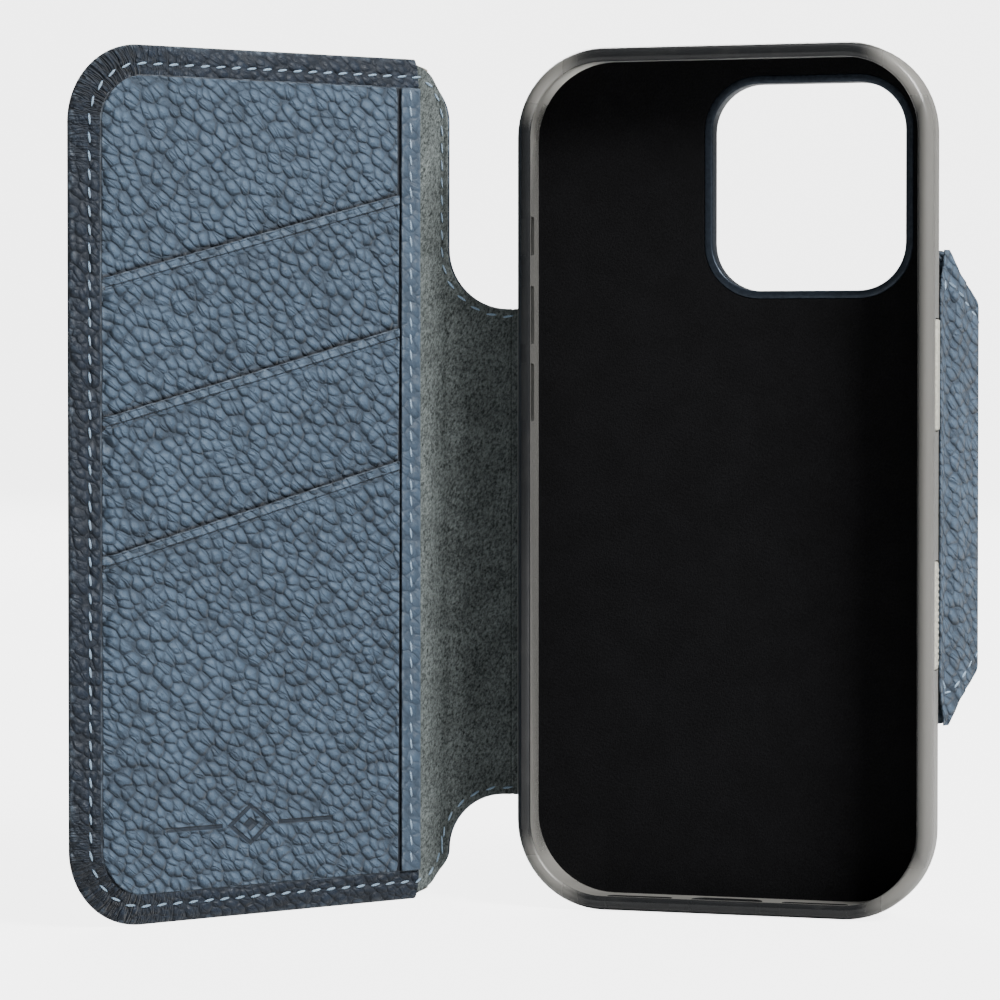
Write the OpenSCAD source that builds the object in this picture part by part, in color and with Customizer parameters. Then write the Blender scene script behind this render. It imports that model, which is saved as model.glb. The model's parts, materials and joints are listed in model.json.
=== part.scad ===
/*
  Folio wallet case for a phone, standing open on its bottom edges.

  A clear bumper tray is bonded to a leather back panel. On its left the back
  panel runs on as a soft spine and then as the cover, with three slanted card
  pockets and a full-height note pocket inside. On its right a magnetic strap
  springs from the back panel, wraps the side and holds the closed cover.

  Axes: X to the right across the tray, Y from the open front to the back,
  Z up. The origin is the centre of the open case's footprint.
  Every sheet is drawn flat in its own plane: x away from its fold, y up,
  and "height" counted from the middle of the leather towards the inside.
*/

/* [Tray] */
// Width of the tray across the bumper
tray_w = 75.5; // [70:0.5:85]
// Height of the tray from bottom edge to top edge
tray_h = 154.5; // [150:0.5:170]
// Depth of the clear shell from lip to back
shell_d = 11.5; // [11:0.1:13]
// Outer radius of the tray's corners
tray_r = 16; // [15:0.5:18]
// Thickness of the bumper's side walls
wall_t = 1.7; // [1.4:0.1:2.2]
// Thickness of the front lip
lip_t = 1.3; // [1:0.1:1.6]
// How far the lip reaches in over the screen
lip_reach = 1.0; // [0.6:0.1:1.4]
// Thickness of the shell's floor
floor_t = 1.2; // [1:0.1:1.4]
// Thickness of the microfibre liner on the floor
liner_t = 0.4; // [0.3:0.1:0.6]
// Thickness of the leather back panel with its board
back_t = 2.0; // [1.8:0.1:2.4]
// How far the back panel's edge lies inside the bumper's
back_inset = 1.8; // [1.5:0.1:2.5]

/* [Cover] */
// Width of the cover from the fold to its free edge
cover_w = 77; // [74:0.5:84]
// Height of the cover
cover_h = 153.5; // [150:0.5:170]
// Radius of the cover's two free corners
cover_r = 14; // [10:0.5:16]
// Radius of the two small corners beside the spine
hinge_side_r = 8; // [7:0.5:8.5]
// Width of the turned-over border along the free edge
border_w = 5.6; // [5:0.1:8]
// Width of the turned-over border along top and bottom
border_h = 5.4; // [5:0.1:6.5]

/* [Pockets] */
// Number of slanted pocket mouths
mouths = 3; // [2:1:3]
// Height of the lowest mouth at the free edge
mouth_z = 64.6; // [60:0.2:70]
// Distance from one mouth to the next
mouth_pitch = 24.1; // [20:0.1:25]
// Slope of the mouths in degrees
mouth_slope = 14.6; // [5:0.1:16]
// Thickness of a pocket panel
panel_t = 0.55; // [0.5:0.05:0.6]
// Slot left for a card between two panels
slot_gap = 0.05; // [0.05:0.05:0.1]
// Length of a panel that is tucked under the next one
tuck = 6; // [4:0.5:8]

/* [Spine] */
// Distance between the spine's two folds
spine_w = 16.2; // [16:0.1:18]
// Lower edge of the spine where it leaves the tray
spine_low = 19; // [18:0.1:24]
// Upper edge of the spine where it leaves the tray
spine_high = 108; // [100:0.5:110]
// Thickness of the folding leather
fold_t = 1.8; // [1.6:0.1:1.9]

/* [Strap] */
// Height of the strap at its root
strap_root_h = 84; // [76:1:86]
// Height of the strap's tab
tab_h = 61; // [50:1:64]
// Length of the tapered root
root_len = 9; // [8:0.5:10]
// Length of the part that wraps the side
wrap_len = 9.3; // [9.2:0.1:11]
// Length of the magnetic tab
tab_len = 26; // [22:1:30]
// Thickness of the strap
strap_t = 1.4; // [1.2:0.1:1.5]

/* [Rest pose] */
// How far the spine is folded forward from flat
spine_angle = 5; // [0:1:90]
// How far the cover is folded forward from the spine
cover_angle = 46; // [0:1:90]
// How far the strap's root is folded back from flat
root_angle = 72; // [60:1:85]
// How far the strap curls on after its root
wrap_angle = 32; // [0:1:40]
// How far the tab curls on after the wrap
tab_angle = 10; // [0:1:12]

/* [Hidden] */
$fn = 64;
eps = 0.01;

// Tray depths, counted back from the lip
bay_start = lip_t;
floor_start = shell_d - floor_t;
bay_end = floor_start - liner_t;
back_end = shell_d + back_t;
board_t = 0.8;
board_inset = back_inset + 2.2;
end_extra = 0.4;

// The bumper's outside, as bands of depth: [from, to, drawn in by]
bands = [[0, 0.8, 0.5], [0.8, 7.5, 0], [7.5, 10.3, 0.6], [10.3, shell_d, 1.5]];

fold_depth = back_end - fold_t / 2;

// Camera window, in the upper corner on the strap's side
window_w = 38;
window_h = 40;
window_r = 10;
window_x = tray_w - 5 - window_w;
window_z = tray_h - 5 - window_h;
bezel_t = 1.5;
bezel_proud = 0.6;
window_border = 2.5;

// Charging port and the two sound vents beside it
port_depth = 5.7;
port_w = 13;
port_t = 5;
vent_x = 16;
vent_w = 12;
vent_t = 2.2;

// Magnet ring behind the floor
ring_r = 27;
ring_w = 4;
ring_t = 0.5;

// Buttons: lower end, length, then the band of depth that they share
button_depth = 3.2;
button_w = 3.6;
button_gap = 0.25;
button_proud = 0.3;
button_t = 1.2;
side_button_z = 86;
side_button_l = 20;
control_z = 44;
control_l = 19.5;
volume_l = 10.5;
volume_up_z = 101.5;
volume_down_z = 87.5;
action_z = 117.5;
action_l = 7;

// Leather stack of the cover, as heights above the middle of the fold
half_t = fold_t / 2;
skin_t = 1.0;
board_low = skin_t - half_t;
board_high = board_low + board_t;
lining_t = 0.5;
lining_high = board_high + lining_t;
backing_high = lining_high + 0.5;
border_high = backing_high;
strip_high = backing_high + 0.8;
cover_inset = 1.2;
fold_gap = 0.3;
side_gap = 0.7;
overhang = 2;
fillet_top = 11;
fillet_low = 8;

// Pocket block
strip_start = 5.6;
strip_end = 10;
panel_start = 10.4;
panel_end = cover_w - border_w - 0.1;
field_r = 8;

// Thread
thread_w = 0.5;
thread_t = 0.15;
border_stitch = 3.4;
free_stitch = 1.3;
back_stitch = 2.4;

// Steel keeper in the cover, under the closed tab
keeper_w = 12;
keeper_h = 40;
keeper_t = 0.5;
keeper_x = 55;
strap_mid = 76;

// Tab stack
strap_half = strap_t / 2;
tab_back = 1.5;
tab_skin = 0.6;
magnet_r = 5;
magnet_count = 3;
tab_r = 12;
tab_margin = 3;
tab_stitch = 1.6;
magnet_step = 16;

// Strap tongue on the side wall: where its front edge and its notch lie
anchor_front = 6.9;
anchor_notch = 9.2;
anchor_mitre = 5;
anchor_t = 0.4;
anchor_gap = 0.15;
joint_gap = 0.15;

// Fold axes in the tray's own corner frame: x from the left wall, y from lip
spine_fold = [-(half_t + side_gap), fold_depth];
cover_fold = [
  spine_fold[0] - spine_w * cos(spine_angle),
  spine_fold[1] - spine_w * sin(spine_angle)
];
cover_turn = spine_angle + cover_angle;
strap_fold = [
  tray_w + anchor_t + anchor_gap + strap_half,
  back_end - strap_half
];
wrap_turn = root_angle + wrap_angle;
tab_turn = wrap_turn + tab_angle;
wrap_fold = [
  strap_fold[0] + root_len * cos(root_angle),
  strap_fold[1] + root_len * sin(root_angle)
];
tab_fold = [
  wrap_fold[0] + wrap_len * cos(wrap_turn),
  wrap_fold[1] + wrap_len * sin(wrap_turn)
];

// Footprint of the open case, which centres the origin
left_x = cover_fold[0] - cover_w * cos(cover_turn) - half_t * sin(cover_turn);
right_x = wrap_fold[0] + strap_half;
front_y = cover_fold[1] - cover_w * sin(cover_turn)
          - (border_high + thread_t) * cos(cover_turn);
rear_y = tab_fold[1] + tab_len * sin(tab_turn)
         - strap_half * cos(tab_turn);
origin = [-(left_x + right_x) / 2, -(front_y + rear_y) / 2, 0];

leather = [0.20, 0.27, 0.35];
suede = [0.33, 0.37, 0.35];
thread = [0.45, 0.62, 0.78];

// ---------- placing ----------

module in_tray() {
  translate(origin) children();
}

module in_spine() {
  translate(origin + [spine_fold[0], spine_fold[1], 0])
    rotate([0, 0, spine_angle]) children();
}

module in_cover() {
  translate(origin + [cover_fold[0], cover_fold[1], 0])
    rotate([0, 0, cover_turn]) children();
}

module in_root() {
  translate(origin + [strap_fold[0], strap_fold[1], 0])
    rotate([0, 0, root_angle]) children();
}

module in_wrap() {
  translate(origin + [wrap_fold[0], wrap_fold[1], 0])
    rotate([0, 0, wrap_turn]) children();
}

module in_tab() {
  translate(origin + [tab_fold[0], tab_fold[1], 0])
    rotate([0, 0, tab_turn]) children();
}

// A tray layer between two depths behind the lip
module layer(from, to) {
  translate([0, to, 0]) rotate([90, 0, 0])
    linear_extrude(to - from) children();
}

// A sheet between two heights, where the inside faces -Y
module sheet(from, to) {
  translate([0, -from, 0]) rotate([90, 0, 0])
    linear_extrude(to - from) children();
}

// ---------- outlines ----------

module rounded(w, h, r) {
  translate([r, 0]) square([w - 2 * r, h]);
  translate([0, r]) square([w, h - 2 * r]);
  for (x = [r, w - r], y = [r, h - r])
    translate([x, y]) circle(r);
}

// The tray's outline, drawn in by some distance, and by more at its ends
module tray_outline(inset, extra = 0) {
  end = inset + extra;
  translate([inset, end])
    rounded(tray_w - 2 * inset, tray_h - 2 * end, tray_r - inset);
}

module window_outline(grow) {
  translate([window_x - grow, window_z - grow])
    rounded(window_w + 2 * grow, window_h + 2 * grow, window_r + grow);
}

// The spine between its folds, with hollow corners that flare to the cover
module spine_outline(inset) {
  low = spine_low + inset;
  high = spine_high - inset;
  difference() {
    translate([-spine_w, low - fillet_low])
      square([spine_w, high - low + fillet_low + fillet_top]);
    translate([-spine_w + fillet_top + inset, high])
      square([spine_w, fillet_top + 1]);
    translate([-spine_w + fillet_top + inset, high + fillet_top])
      circle(fillet_top);
    translate([-spine_w + fillet_low + inset, low - fillet_low - 1])
      square([spine_w, fillet_low + 1]);
    translate([-spine_w + fillet_low + inset, low - fillet_low])
      circle(fillet_low);
  }
}

// The cover's whole outline; the small corners stand past the fold
module cover_blank(inset) {
  r = cover_r - inset;
  s = hinge_side_r - inset;
  w = cover_w - inset;
  near = overhang - inset;
  low = inset;
  high = cover_h - inset;
  translate([-w, low + r]) square([r, high - low - 2 * r]);
  translate([-w + r, low]) square([w - r + near - s, high - low]);
  translate([near - s - eps, low + s])
    square([s + eps, high - low - 2 * s]);
  for (y = [low + r, high - r]) translate([-w + r, y]) circle(r);
  for (y = [low + s, high - s]) translate([near - s, y]) circle(s);
}

// The same with room cut for the spine's rolled fold
module cover_outline(inset) {
  difference() {
    cover_blank(inset);
    translate([-half_t - fold_gap, spine_low - fillet_low - fold_gap])
      square([
        half_t + fold_gap + overhang + 1,
        spine_high - spine_low + fillet_low + fillet_top + 2 * fold_gap
      ]);
  }
}

module beyond(start) {
  translate([-cover_w - 1, -1]) square([cover_w + 1 - start, cover_h + 2]);
}

// Everything inside the turned-over border
module field() {
  translate([-cover_w + border_w, border_h])
    rounded(2 * cover_w, cover_h - 2 * border_h, field_r);
}

// A stretch of that field between two distances from the fold
module block_outline(from, to) {
  intersection() {
    field();
    translate([-to, 0]) square([to - from, cover_h]);
  }
}

// ---------- tray ----------

// A round-ended slot through the bottom wall, x away from its middle
module slot(x, w, t) {
  straight = w - t;
  translate([tray_w / 2 + x, port_depth, -1]) {
    translate([-straight / 2, -t / 2, 0]) cube([straight, t, wall_t + 3]);
    for (end = [-1, 1])
      translate([end * straight / 2, 0, 0])
        cylinder(r = t / 2, h = wall_t + 3);
  }
}

module wall_window(side, z, l) {
  x = side > 0 ? tray_w - wall_t - 1 : -1;
  translate([x, button_depth, z]) cube([wall_t + 2, button_w, l]);
}

module shell_blank() {
  for (band = bands) layer(band[0], band[1]) tray_outline(band[2]);
}

module clear_shell() {
  color([0.80, 0.80, 0.76, 0.5])
  in_tray() difference() {
    shell_blank();
    layer(bay_start, floor_start) tray_outline(wall_t, end_extra);
    layer(-1, bay_start + 1) tray_outline(wall_t + lip_reach);
    layer(floor_start - 1, shell_d + 1) window_outline(0);
    wall_window(1, side_button_z, side_button_l);
    wall_window(1, control_z, control_l);
    wall_window(-1, volume_up_z, volume_l);
    wall_window(-1, volume_down_z, volume_l);
    wall_window(-1, action_z, action_l);
    slot(0, port_w, port_t);
    for (side = [-1, 1]) slot(side * vent_x, vent_w, vent_t);
  }
}

module shell_liner() {
  color([0.09, 0.09, 0.10])
  in_tray() difference() {
    layer(bay_end, floor_start) tray_outline(wall_t, end_extra);
    layer(bay_end - 1, floor_start + 1) window_outline(0);
  }
}

module camera_bezel() {
  color([0.11, 0.14, 0.18])
  in_tray() difference() {
    layer(bay_end, back_end + bezel_proud) window_outline(0);
    layer(bay_end - 1, back_end + 1) window_outline(-bezel_t);
  }
}

module ring_blank(t) {
  translate([tray_w / 2, shell_d, tray_h / 2]) rotate([-90, 0, 0])
  difference() {
    cylinder(r = ring_r, h = t);
    translate([0, 0, -1]) cylinder(r = ring_r - ring_w, h = t + 2);
  }
}

module magnet_ring() {
  color([0.62, 0.63, 0.64]) in_tray() ring_blank(ring_t);
}

module board_blank() {
  difference() {
    layer(shell_d, shell_d + board_t) tray_outline(board_inset);
    layer(shell_d - 1, back_end) window_outline(window_border);
  }
}

module back_board() {
  color([0.45, 0.40, 0.33])
  in_tray() difference() {
    board_blank();
    ring_blank(ring_t);
  }
}

module back_leather() {
  root_z = strap_mid - strap_root_h / 2;
  color(leather)
  in_tray() difference() {
    union() {
      layer(shell_d, back_end) tray_outline(back_inset);
      translate([fold_gap - side_gap, back_end - fold_t, spine_low])
        cube([tray_r, fold_t, spine_high - spine_low]);
      translate([tray_w - tray_r, back_end - strap_t, root_z])
        cube([tray_r + fold_gap, strap_t, strap_root_h]);
    }
    layer(shell_d - 1, back_end + 1) window_outline(0);
    board_blank();
  }
}

module back_stitching() {
  color(thread)
  in_tray() layer(back_end, back_end + thread_t) difference() {
    tray_outline(back_inset + back_stitch);
    tray_outline(back_inset + back_stitch + thread_w);
    window_outline(1);
  }
}

// Tongue of the strap's lining, bonded to the rear of the side wall
module strap_anchor() {
  low = strap_mid - strap_root_h / 2 + 1;
  high = strap_mid + strap_root_h / 2 - 1;
  notch_low = side_button_z - 1.5;
  notch_high = side_button_z + side_button_l + 1;
  color(leather)
  in_tray() difference() {
    translate([tray_w - wall_t, 0, 0]) rotate([90, 0, 90])
      linear_extrude(wall_t + anchor_t)
        polygon([
          [shell_d, low], [anchor_front, low + anchor_mitre],
          [anchor_front, notch_low], [anchor_notch, notch_low],
          [anchor_notch, notch_high], [shell_d, high]
        ]);
    shell_blank();
  }
}

module button(side, z, l) {
  x = side > 0 ? tray_w + button_proud - button_t : -button_proud;
  color([0.85, 0.83, 0.75, 0.6])
  in_tray()
    translate([x, button_depth + button_gap, z + button_gap])
      cube([button_t, button_w - 2 * button_gap, l - 2 * button_gap]);
}

module side_button() { button(1, side_button_z, side_button_l); }
module volume_up_button() { button(-1, volume_up_z, volume_l); }
module volume_down_button() { button(-1, volume_down_z, volume_l); }
module action_button() { button(-1, action_z, action_l); }

// Ribbed pad over the camera control
module camera_control_pad() {
  ribs = 16;
  pitch = (control_l - 2) / ribs;
  button(1, control_z, control_l);
  color([0.85, 0.83, 0.75, 0.6])
  in_tray() for (i = [0 : ribs - 1])
    translate([
      tray_w + button_proud,
      button_depth + 0.6,
      control_z + 1 + i * pitch
    ]) cube([0.15, button_w - 1.2, pitch / 2]);
}

// ---------- spine ----------

module fold_roll(r, low, high) {
  translate([0, 0, low]) cylinder(r = r, h = high - low);
}

module spine_leather() {
  color(leather)
  in_spine() {
    sheet(-half_t, 0.1) spine_outline(0);
    fold_roll(half_t, spine_low, spine_high);
    translate([-spine_w, 0, 0])
      fold_roll(half_t, spine_low - fillet_low, spine_high + fillet_top);
  }
}

module between_rolls(margin) {
  translate([-spine_w + half_t + margin, 0])
    square([spine_w - fold_t - 2 * margin, tray_h]);
}

module spine_core() {
  color([0.45, 0.40, 0.33])
  in_spine() sheet(0.1, 0.3) intersection() {
    spine_outline(1.5);
    between_rolls(0.6);
  }
}

module spine_lining() {
  color(suede)
  in_spine() {
    sheet(0.3, half_t) intersection() {
      spine_outline(0);
      between_rolls(0);
    }
    sheet(0.1, 0.3) difference() {
      intersection() {
        spine_outline(0);
        between_rolls(0);
      }
      intersection() {
        spine_outline(1.5);
        between_rolls(0.6);
      }
    }
  }
}

module spine_stitching() {
  color(thread)
  in_spine() sheet(half_t, half_t + thread_t) intersection() {
    difference() {
      spine_outline(free_stitch - thread_w / 2);
      spine_outline(free_stitch + thread_w / 2);
    }
    between_rolls(0);
  }
}

// ---------- cover ----------

module board_outline() {
  intersection() {
    cover_outline(cover_inset);
    beyond(3);
  }
}

module border_outline() {
  difference() {
    intersection() {
      cover_outline(0);
      beyond(strip_start);
    }
    field();
  }
}

module cover_leather() {
  color(leather)
  in_cover() difference() {
    union() {
      sheet(-half_t, board_low) cover_outline(0);
      sheet(board_low, border_high) border_outline();
    }
    sheet(board_low, board_high) board_outline();
  }
}

module keeper_blank() {
  translate([-keeper_x - keeper_w, -board_low - keeper_t,
             strap_mid - keeper_h / 2])
    cube([keeper_w, keeper_t, keeper_h]);
}

module cover_board() {
  color([0.45, 0.40, 0.33])
  in_cover() difference() {
    sheet(board_low, board_high) board_outline();
    keeper_blank();
  }
}

module cover_keeper() {
  color([0.62, 0.63, 0.64]) in_cover() keeper_blank();
}

module cover_lining() {
  color(suede)
  in_cover() {
    sheet(board_low, board_high) difference() {
      cover_outline(0);
      beyond(3);
    }
    sheet(board_high, lining_high) difference() {
      cover_outline(0);
      border_outline();
    }
  }
}

module pocket_backing() {
  color(leather)
  in_cover() sheet(lining_high, backing_high)
    block_outline(strip_start, cover_w - border_w);
}

module note_pocket_strip() {
  color(leather)
  in_cover() sheet(backing_high, strip_high)
    block_outline(strip_start, strip_end);
}

// Region between two slanted lines, each given by its height at the free edge
module slanted(low, high) {
  rise = (panel_end - panel_start) * tan(mouth_slope);
  intersection() {
    polygon([
      [-panel_end, low], [-panel_start, low + rise],
      [-panel_start, high + rise], [-panel_end, high]
    ]);
    block_outline(panel_start, panel_end);
  }
}

// A flat plate that leans out towards its mouth from a slanted lower line
module leaning_plate(low, tilt) {
  reach = 3 * cover_w;
  translate([-panel_end, -backing_high, low])
    rotate([0, -mouth_slope, 0])
      rotate([tilt, 0, 0])
        translate([-reach / 2, -panel_t, -reach / 2])
          cube([reach, panel_t, reach]);
}

// Card pocket k, counted up from the lowest, which runs on to the bottom edge
module pocket_panel(k) {
  top = mouth_z + k * mouth_pitch;
  fall = k == 0 ? mouth_z : mouth_pitch + tuck;
  low = k == 0 ? -mouth_z : top - fall;
  lift = (panel_t + slot_gap) * (1 + tuck / mouth_pitch);
  color(leather)
  in_cover() intersection() {
    leaning_plate(top - fall, atan(lift / (fall * cos(mouth_slope))));
    sheet(backing_high, backing_high + 2 * lift + panel_t) slanted(low, top);
  }
}

module pocket_panel_lower() { pocket_panel(0); }
module pocket_panel_middle() { pocket_panel(1); }
module pocket_panel_upper() { pocket_panel(2); }

module pocket_panel_top() {
  color(leather)
  in_cover() sheet(backing_high, backing_high + panel_t)
    slanted(mouth_z + (mouths - 1) * mouth_pitch - tuck, cover_h);
}

module cover_stitching() {
  color(thread)
  in_cover() sheet(border_high, border_high + thread_t) intersection() {
    difference() {
      cover_blank(border_stitch - thread_w / 2);
      cover_blank(border_stitch + thread_w / 2);
    }
    beyond(strip_start + 0.5);
  }
}

module pocket_stitching() {
  color(thread)
  in_cover() sheet(strip_high, strip_high + thread_t)
    translate([-(strip_start + strip_end + thread_w) / 2, border_h + 1])
      square([thread_w, cover_h - 2 * border_h - 2]);
}

// ---------- strap ----------

module root_outline(inset) {
  low = strap_mid - strap_root_h / 2 + inset;
  high = strap_mid + strap_root_h / 2 - inset;
  tab_low = strap_mid - tab_h / 2 + inset;
  tab_high = strap_mid + tab_h / 2 - inset;
  polygon([
    [0, low], [root_len, tab_low], [root_len, tab_high], [0, high]
  ]);
}

module strap_slice(from, to) {
  translate([from, 0]) square([to - from, tray_h]);
}

module strap_root_leather() {
  color(leather)
  in_root() {
    sheet(-strap_half, 0) root_outline(0);
    fold_roll(strap_half, strap_mid - strap_root_h / 2,
              strap_mid + strap_root_h / 2);
    translate([root_len, 0, 0])
      fold_roll(strap_half, strap_mid - tab_h / 2, strap_mid + tab_h / 2);
  }
}

module strap_root_lining() {
  color(leather)
  in_root() sheet(0, strap_half) intersection() {
    root_outline(0);
    strap_slice(strap_half, root_len - strap_half);
  }
}

module strap_band(from, to) {
  translate([from, strap_mid - tab_h / 2]) square([to - from, tab_h]);
}

module strap_wrap_leather() {
  color(leather)
  in_wrap() {
    sheet(-strap_half, 0) strap_band(strap_half + joint_gap, wrap_len);
    translate([wrap_len, 0, 0])
      fold_roll(strap_half, strap_mid - tab_h / 2, strap_mid + tab_h / 2);
  }
}

module strap_wrap_lining() {
  color(leather)
  in_wrap() sheet(0, strap_half)
    strap_band(strap_half + joint_gap, wrap_len - strap_half);
}

module tab_outline(inset) {
  start = strap_half + joint_gap + inset;
  r = tab_r - inset;
  low = strap_mid - tab_h / 2 + inset;
  high = strap_mid + tab_h / 2 - inset;
  end = tab_len - inset;
  translate([start, low]) square([end - r - start, high - low]);
  translate([end - r - eps, low + r]) square([r + eps, high - low - 2 * r]);
  for (y = [low + r, high - r]) translate([end - r, y]) circle(r);
}

module tab_leather() {
  color(leather)
  in_tab() difference() {
    sheet(-tab_back, 0.1) tab_outline(0);
    sheet(-tab_back + tab_skin, 0.1 + eps) tab_outline(tab_margin);
  }
}

module tab_lining() {
  color(leather)
  in_tab() sheet(0.1, strap_half) tab_outline(0);
}

module magnet_spots() {
  for (i = [0 : magnet_count - 1])
    translate([tab_len / 2 + 1, strap_mid + (i - 1) * magnet_step])
      circle(magnet_r);
}

module tab_magnets() {
  color([0.62, 0.63, 0.64])
  in_tab() sheet(-tab_back + tab_skin, 0.1) magnet_spots();
}

module tab_stiffener() {
  color([0.45, 0.40, 0.33])
  in_tab() sheet(-tab_back + tab_skin, 0.1) difference() {
    tab_outline(tab_margin);
    magnet_spots();
  }
}

module tab_stitching() {
  color(thread)
  in_tab() sheet(strap_half, strap_half + thread_t) difference() {
    tab_outline(tab_stitch);
    tab_outline(tab_stitch + thread_w);
  }
}

clear_shell();
shell_liner();
camera_bezel();
magnet_ring();
back_board();
back_leather();
back_stitching();
strap_anchor();
side_button();
volume_up_button();
volume_down_button();
action_button();
camera_control_pad();
spine_leather();
spine_core();
spine_lining();
spine_stitching();
cover_leather();
cover_board();
cover_keeper();
cover_lining();
pocket_backing();
note_pocket_strip();
pocket_panel_top();
pocket_panel_upper();
pocket_panel_middle();
pocket_panel_lower();
cover_stitching();
pocket_stitching();
strap_root_leather();
strap_root_lining();
strap_wrap_leather();
strap_wrap_lining();
tab_leather();
tab_lining();
tab_stiffener();
tab_magnets();
tab_stitching();
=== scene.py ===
# %% [markdown]
# # Phone wallet case
# The case is leather goods work: sheets of leather and suede are cut flat, glued round
# thin boards, sewn, and folded. Blender follows the same order here. Every sheet is drawn
# flat, thickened, rounded at its edges and only then folded, so the grain and the thread
# run on over the folds as they do on real leather.
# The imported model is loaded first. It fixes every size and every fold.

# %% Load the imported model
import json
import math

import bmesh
import bpy
from mathutils import Matrix, Vector, noise


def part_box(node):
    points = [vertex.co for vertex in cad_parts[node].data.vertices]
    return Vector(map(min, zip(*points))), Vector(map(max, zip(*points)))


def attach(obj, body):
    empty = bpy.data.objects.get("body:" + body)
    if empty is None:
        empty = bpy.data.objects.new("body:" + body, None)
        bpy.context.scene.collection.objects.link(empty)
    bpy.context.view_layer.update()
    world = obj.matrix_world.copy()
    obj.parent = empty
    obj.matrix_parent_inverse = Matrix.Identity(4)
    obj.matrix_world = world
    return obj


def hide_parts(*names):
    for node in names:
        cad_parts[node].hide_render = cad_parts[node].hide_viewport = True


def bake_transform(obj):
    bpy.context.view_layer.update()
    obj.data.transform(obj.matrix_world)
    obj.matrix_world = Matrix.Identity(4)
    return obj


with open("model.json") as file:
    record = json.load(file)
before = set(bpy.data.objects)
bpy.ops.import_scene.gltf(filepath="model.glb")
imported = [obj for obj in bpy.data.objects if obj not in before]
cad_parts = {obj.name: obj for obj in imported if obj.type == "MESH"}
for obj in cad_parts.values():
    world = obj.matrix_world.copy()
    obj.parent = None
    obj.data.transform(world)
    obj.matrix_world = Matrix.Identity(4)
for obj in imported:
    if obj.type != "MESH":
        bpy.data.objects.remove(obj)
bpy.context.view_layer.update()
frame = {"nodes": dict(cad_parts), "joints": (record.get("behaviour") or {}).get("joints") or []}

# %% [markdown]
# ## Measures in millimetres
# A case maker works in millimetres from one corner of the phone tray: x to the right from
# the left wall, y back from the front lip, z up. All drawing below uses that corner, and one
# matrix takes a finished piece into the frame, in metres. The fold lines come from the
# model's own joints.

# %% The tray's corner, and the fold lines
TO_FRAME = Matrix.Translation(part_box("clear_shell")[0]) @ Matrix.Scale(0.001, 4)
TRAY_W, TRAY_H = 75.5, 154.5
SHELL_D, BACK_Y = 11.5, 13.5

axis_at = {
    joint["name"]: TO_FRAME.inverted() @ Vector(joint["pos_m"])
    for joint in frame["joints"]
    if joint["type"] == "hinge"
}
FOLD_A = axis_at["spine_fold"]
SPINE_W = (axis_at["cover_fold"] - FOLD_A).xy.length
FOLD_C = axis_at["strap_fold"]
ROOT_L = (axis_at["strap_bend"] - FOLD_C).xy.length
WRAP_L = (axis_at["tab_fold"] - axis_at["strap_bend"]).xy.length
COVER_W, COVER_H = 77.0, 153.5
MID_Z = 76.0
print(f"spine {SPINE_W:.2f} mm, strap root {ROOT_L:.2f} mm, strap wrap {WRAP_L:.2f} mm")

# %% [markdown]
# ## Folding a flat sheet
# Leather doesn't turn on a knife edge: the turn grows over a few millimetres on each side of
# the fold line. Each point is turned about the fold line by its share of the angle.

# %% Fold a point of the flat blank to the resting case
FOLD_REACH = 2.2
STRAP_REACH = 1.7


def ease(t):
    """0 to 1 with a soft start and end."""
    t = min(1.0, max(0.0, t))
    return t * t * (3 - 2 * t)


def turned(point, line_x, line_y, degrees, reach, side):
    """A point turned about an upright fold line, fully beyond the reach of the fold."""
    share = ease(0.5 + side * (point.x - line_x) / (2 * reach))
    line = Vector((line_x, line_y, 0))
    return line + Matrix.Rotation(math.radians(degrees) * share, 3, "Z") @ (point - line)


def folded_left(point):
    """Spine and cover: 46 degrees at the cover's fold, then 5 at the spine's."""
    point = turned(point, FOLD_A.x - SPINE_W, FOLD_A.y, 46, FOLD_REACH, -1)
    return turned(point, FOLD_A.x, FOLD_A.y, 5, FOLD_REACH, -1)


def folded_right(point):
    """Strap: 10 degrees at the tab, 32 at the wrap, 72 at the root."""
    point = turned(point, FOLD_C.x + ROOT_L + WRAP_L, FOLD_C.y, 10, STRAP_REACH, 1)
    point = turned(point, FOLD_C.x + ROOT_L, FOLD_C.y, 32, STRAP_REACH, 1)
    return turned(point, FOLD_C.x, FOLD_C.y, 72, STRAP_REACH, 1)


def unfolded(point):
    return point


def cover_at(s, z, v):
    """s from the cover's fold to its free edge, v from mid-leather to the inside."""
    return Vector((FOLD_A.x - SPINE_W - s, FOLD_A.y - v, z))


def strap_at(s, z, v):
    return Vector((FOLD_C.x + s, FOLD_C.y - v, z))


print("cover's free edge rests at", [round(c, 1) for c in folded_left(cover_at(COVER_W, 0, 0))])

# %% [markdown]
# ## The viewpoint
# A studio camera with a long lens stands a little to the right of the case, at two thirds of
# its height. It looks down by one degree, and its back is shifted down a little, so that
# upright edges stay nearly upright.

# %% Camera
camera_data = bpy.data.cameras.new("studio_camera")
camera = bpy.data.objects.new("studio_camera", camera_data)
bpy.context.scene.collection.objects.link(camera)
bpy.context.scene.camera = camera
camera_data.lens = 137.2
camera_data.shift_x = 0.007
camera_data.shift_y = -0.06
camera.location = (0.1799, -0.6606, 0.098)
camera.rotation_euler = (math.radians(88.85), 0, math.radians(16.15))
print("camera stands", round(camera.location.length * 1000), "mm from the case's middle")

# %% [markdown]
# ## Tools for materials
# Every material is built from nodes. Small helpers keep that short: they add a node with its
# inputs, do sums with values and places, and make a reusable effect with named inputs and
# outputs.

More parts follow.
